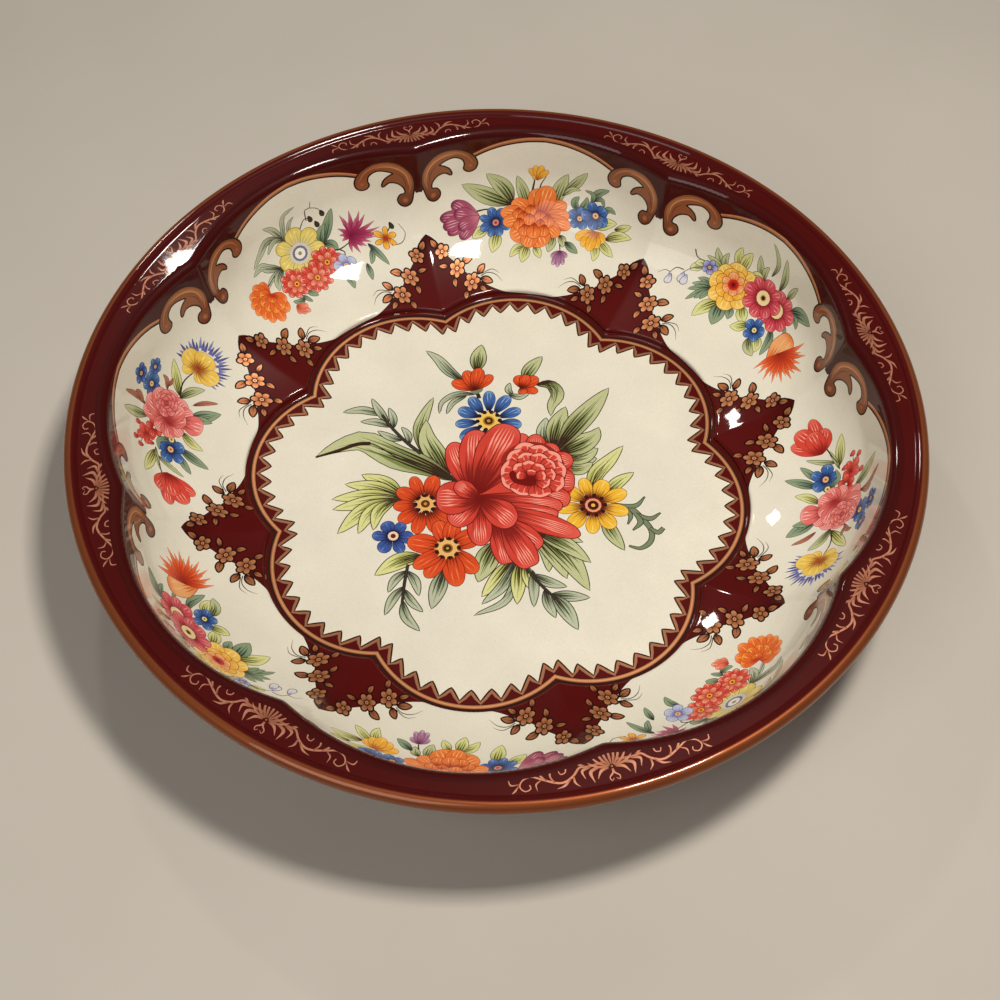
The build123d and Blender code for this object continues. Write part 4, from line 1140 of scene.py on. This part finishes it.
well = Sheet()
toothed_ring(well)
centre_bouquet(well)
WELL_STEP, WELL_REACH = 1.8, 78
well_rows = np.arange(-WELL_REACH, WELL_REACH, WELL_STEP)
plan = np.array([(x + (WELL_STEP / 2 if k % 2 else 0), y) for k, y in enumerate(well_rows)
                 for x in well_rows])
plan_degrees = np.degrees(np.arctan2(plan[:, 1], plan[:, 0]))
well_grid = plan[np.hypot(*plan.T) < 0.99 * lobe_reach(RING_RHO, plan_degrees)]
well_edge = softened(ring_edge)
well_print = pressed_piece("well_print", well, well_edge, well.cut(well_edge, well_grid), press_well, 0,
                           plain(LINE))
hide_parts("well_enamel")

SHOULDER_START = WALL_TOP - 6.5
wall_rows = np.unique(np.concatenate([np.arange(0.35, 5, 0.35), np.arange(5, SHOULDER_START, 1.25),
                                      np.arange(SHOULDER_START, WALL_TOP, 0.4)]))
ridge_x = [s * (HALF - d) for s in (-1, 1) for d in (0.35, 0.8, 1.4, 2.2)]
side_x = np.linspace(-HALF, HALF, 101)
wall_edge = np.array([(x, 0) for x in side_x] + [(HALF, y) for y in wall_rows]
                     + [(x, WALL_TOP) for x in side_x[::-1]] + [(-HALF, y) for y in wall_rows[::-1]])
wall_grid = grid_over((-HALF + 3.2, HALF - 3.2), wall_rows, 1.7, ridge_x)
walls = []
for bouquet in BOUQUETS:
    wall = Sheet()
    wall_border(wall)
    bouquet(wall)
    walls.append((wall, wall.cut(wall_edge, wall_grid)))
for k in range(LOBES):
    wall, wall_cut = walls[k % len(walls)]
    piece = pressed_piece(f"wall_print_{k + 1}", wall, wall_edge, wall_cut, press_wall, k * SECTOR,
                          plain(CREAM))
    if k == 0:
        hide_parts("panel_enamel", "medallion_enamel")


RIM_ARC = 118.0


def press_rim(x, y, azimuth):
    """The flat rim: x is along an arc in the rim's middle, y is the radius."""
    turn = np.radians(azimuth) - x / RIM_ARC
    return np.stack([y * np.cos(turn), y * np.sin(turn), np.full(np.shape(x), RIM_Z)], -1)


rim = Sheet()
rim_border(rim)
rim_half = math.radians(SECTOR / 2) * RIM_ARC
rim_x = np.linspace(-rim_half, rim_half, 101)


def flange_start(x):
    """The radius at which the flat rim begins."""
    return lobe_reach(FLANGE_RHO, math.degrees(x / RIM_ARC) + SECTOR / 2)


inner_edge = [(x, flange_start(x)) for x in rim_x]
outer_edge = [(x, FLANGE_END) for x in rim_x[::-1]]
rim_grid = [(x, y) for x in np.arange(-rim_half + 1.2, rim_half, 2.4)
            for y in np.arange(104, FLANGE_END - 1, 3.0) if y > flange_start(x) + 1]
rim_edge = np.array(inner_edge + outer_edge)
rim_cut = rim.cut(rim_edge, rim_grid)
for k in range(LOBES):
    piece = pressed_piece(f"rim_print_{k + 1}", rim, rim_edge, rim_cut, press_rim, (k + 0.5) * SECTOR,
                          plain(RIM_INK))
    if k == 0:
        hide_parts("border_enamel")

bead_x, bead_z = DISH_RADIUS - BEAD_RADIUS, CROWN_Z - BEAD_RADIUS
crease = 0.9
crease_x = bead_x - math.sqrt((BEAD_RADIUS + crease) ** 2 - (RIM_Z + crease - bead_z) ** 2)
meet = math.degrees(math.atan2(RIM_Z + crease - bead_z, crease_x - bead_x))
band = [(FLANGE_END, RIM_Z)] + arc((crease_x, RIM_Z + crease), crease, -90, meet - 180, 8)
band += arc((bead_x, bead_z), BEAD_RADIUS, meet, -90, 6)[1:]
EDGE_GOLD = ink(132, 70, 38, 0.4)
inks = []
for r, z in band:
    angle = math.degrees(math.atan2(z - bead_z, r - bead_x))
    share = min(max((98 - angle) / 12, 0), 1) if r > crease_x else 0.0
    inks.append(RIM_INK * (1 - share) + EDGE_GOLD * share)
edge_print = revolved("edge_print", band, inks)
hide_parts("edge_enamel")


# ---------------------------------------------------------------- camera, floor and light

RADIUS = DISH_RADIUS * MM
AZIMUTH, ELEVATION, ROLL = math.radians(7.367), math.radians(56.539), 0.01439
DISTANCE = 3.9204 * RADIUS
AIM = (0.00946, -0.04161)
target = Vector((AIM[0] * math.cos(AZIMUTH) - AIM[1] * math.sin(AZIMUTH),
                 AIM[0] * math.sin(AZIMUTH) + AIM[1] * math.cos(AZIMUTH), 0)) * RADIUS
target.z = WELL_Z * MM
back = Vector((math.sin(AZIMUTH) * math.cos(ELEVATION), -math.cos(AZIMUTH) * math.cos(ELEVATION),
               math.sin(ELEVATION)))
right = Vector((math.cos(AZIMUTH), math.sin(AZIMUTH), 0))
upward = back.cross(right)
rolled_right = right * math.cos(ROLL) + upward * math.sin(ROLL)
rolled_up = upward * math.cos(ROLL) - right * math.sin(ROLL)
lens = bpy.data.cameras.new("camera")
lens.lens, lens.sensor_width = 56.675, 36.0
camera = bpy.data.objects.new("camera", lens)
bpy.context.collection.objects.link(camera)
camera.matrix_world = Matrix((rolled_right, rolled_up, back)).transposed().to_4x4()
camera.location = target + back * DISTANCE
bpy.context.scene.camera = camera

floor_mesh = bpy.data.meshes.new("floor")
reach = 12 * RADIUS
floor_mesh.from_pydata([(-reach, -reach, 0), (reach, -reach, 0), (reach, reach, 0), (-reach, reach, 0)], [],
                       [(0, 1, 2, 3)])
floor = bpy.data.objects.new("floor", floor_mesh)
bpy.context.collection.objects.link(floor)
ground = Nodes("pale_floor")
speck = ground.add("TexNoise", {"Scale": 40.0, "Detail": 4.0})
floor_tone = ground.add("ValToRGB", {"Fac": speck.outputs["Fac"]})
floor_tone.color_ramp.elements[0].color = (0.50, 0.46, 0.40, 1)
floor_tone.color_ramp.elements[1].color = (0.56, 0.52, 0.46, 1)
ground.set(Base_Color=floor_tone.outputs["Color"], Roughness=0.75)
floor_mesh.materials.append(ground.material)


LAMP_AIM = (0, 0, 0.02)


def lamp(name, at, size, watts, tint):
    """A soft square lamp aimed at the dish: its place and side are in dish radii."""
    light = bpy.data.lights.new(name, "AREA")
    light.shape = "RECTANGLE"
    light.size = light.size_y = size * RADIUS
    light.energy = watts
    light.color = tint
    made = bpy.data.objects.new(name, light)
    bpy.context.collection.objects.link(made)
    made.location = Vector(at) * RADIUS
    made.rotation_mode = "QUATERNION"
    made.rotation_quaternion = (Vector(LAMP_AIM) - made.location).to_track_quat("-Z", "Y")
    return made


lamp("key", (1.46, 0.19, 5.76), 0.8, 4.3, (1.0, 0.94, 0.86))
lamp("back", (-2.38, 4.0, 4.76), 0.36, 0.6, (1.0, 0.95, 0.88))
lamp("fill", (-2.0, -4.5, 5.0), 4.0, 2.6, (1.0, 0.97, 0.94))
world = bpy.data.worlds.new("studio")
world.use_nodes = True
world.node_tree.nodes["Background"].inputs["Color"].default_value = (1.0, 0.97, 0.93, 1)
world.node_tree.nodes["Background"].inputs["Strength"].default_value = 0.06
bpy.context.scene.world = world
bpy.context.scene.view_settings.view_transform = "Standard"
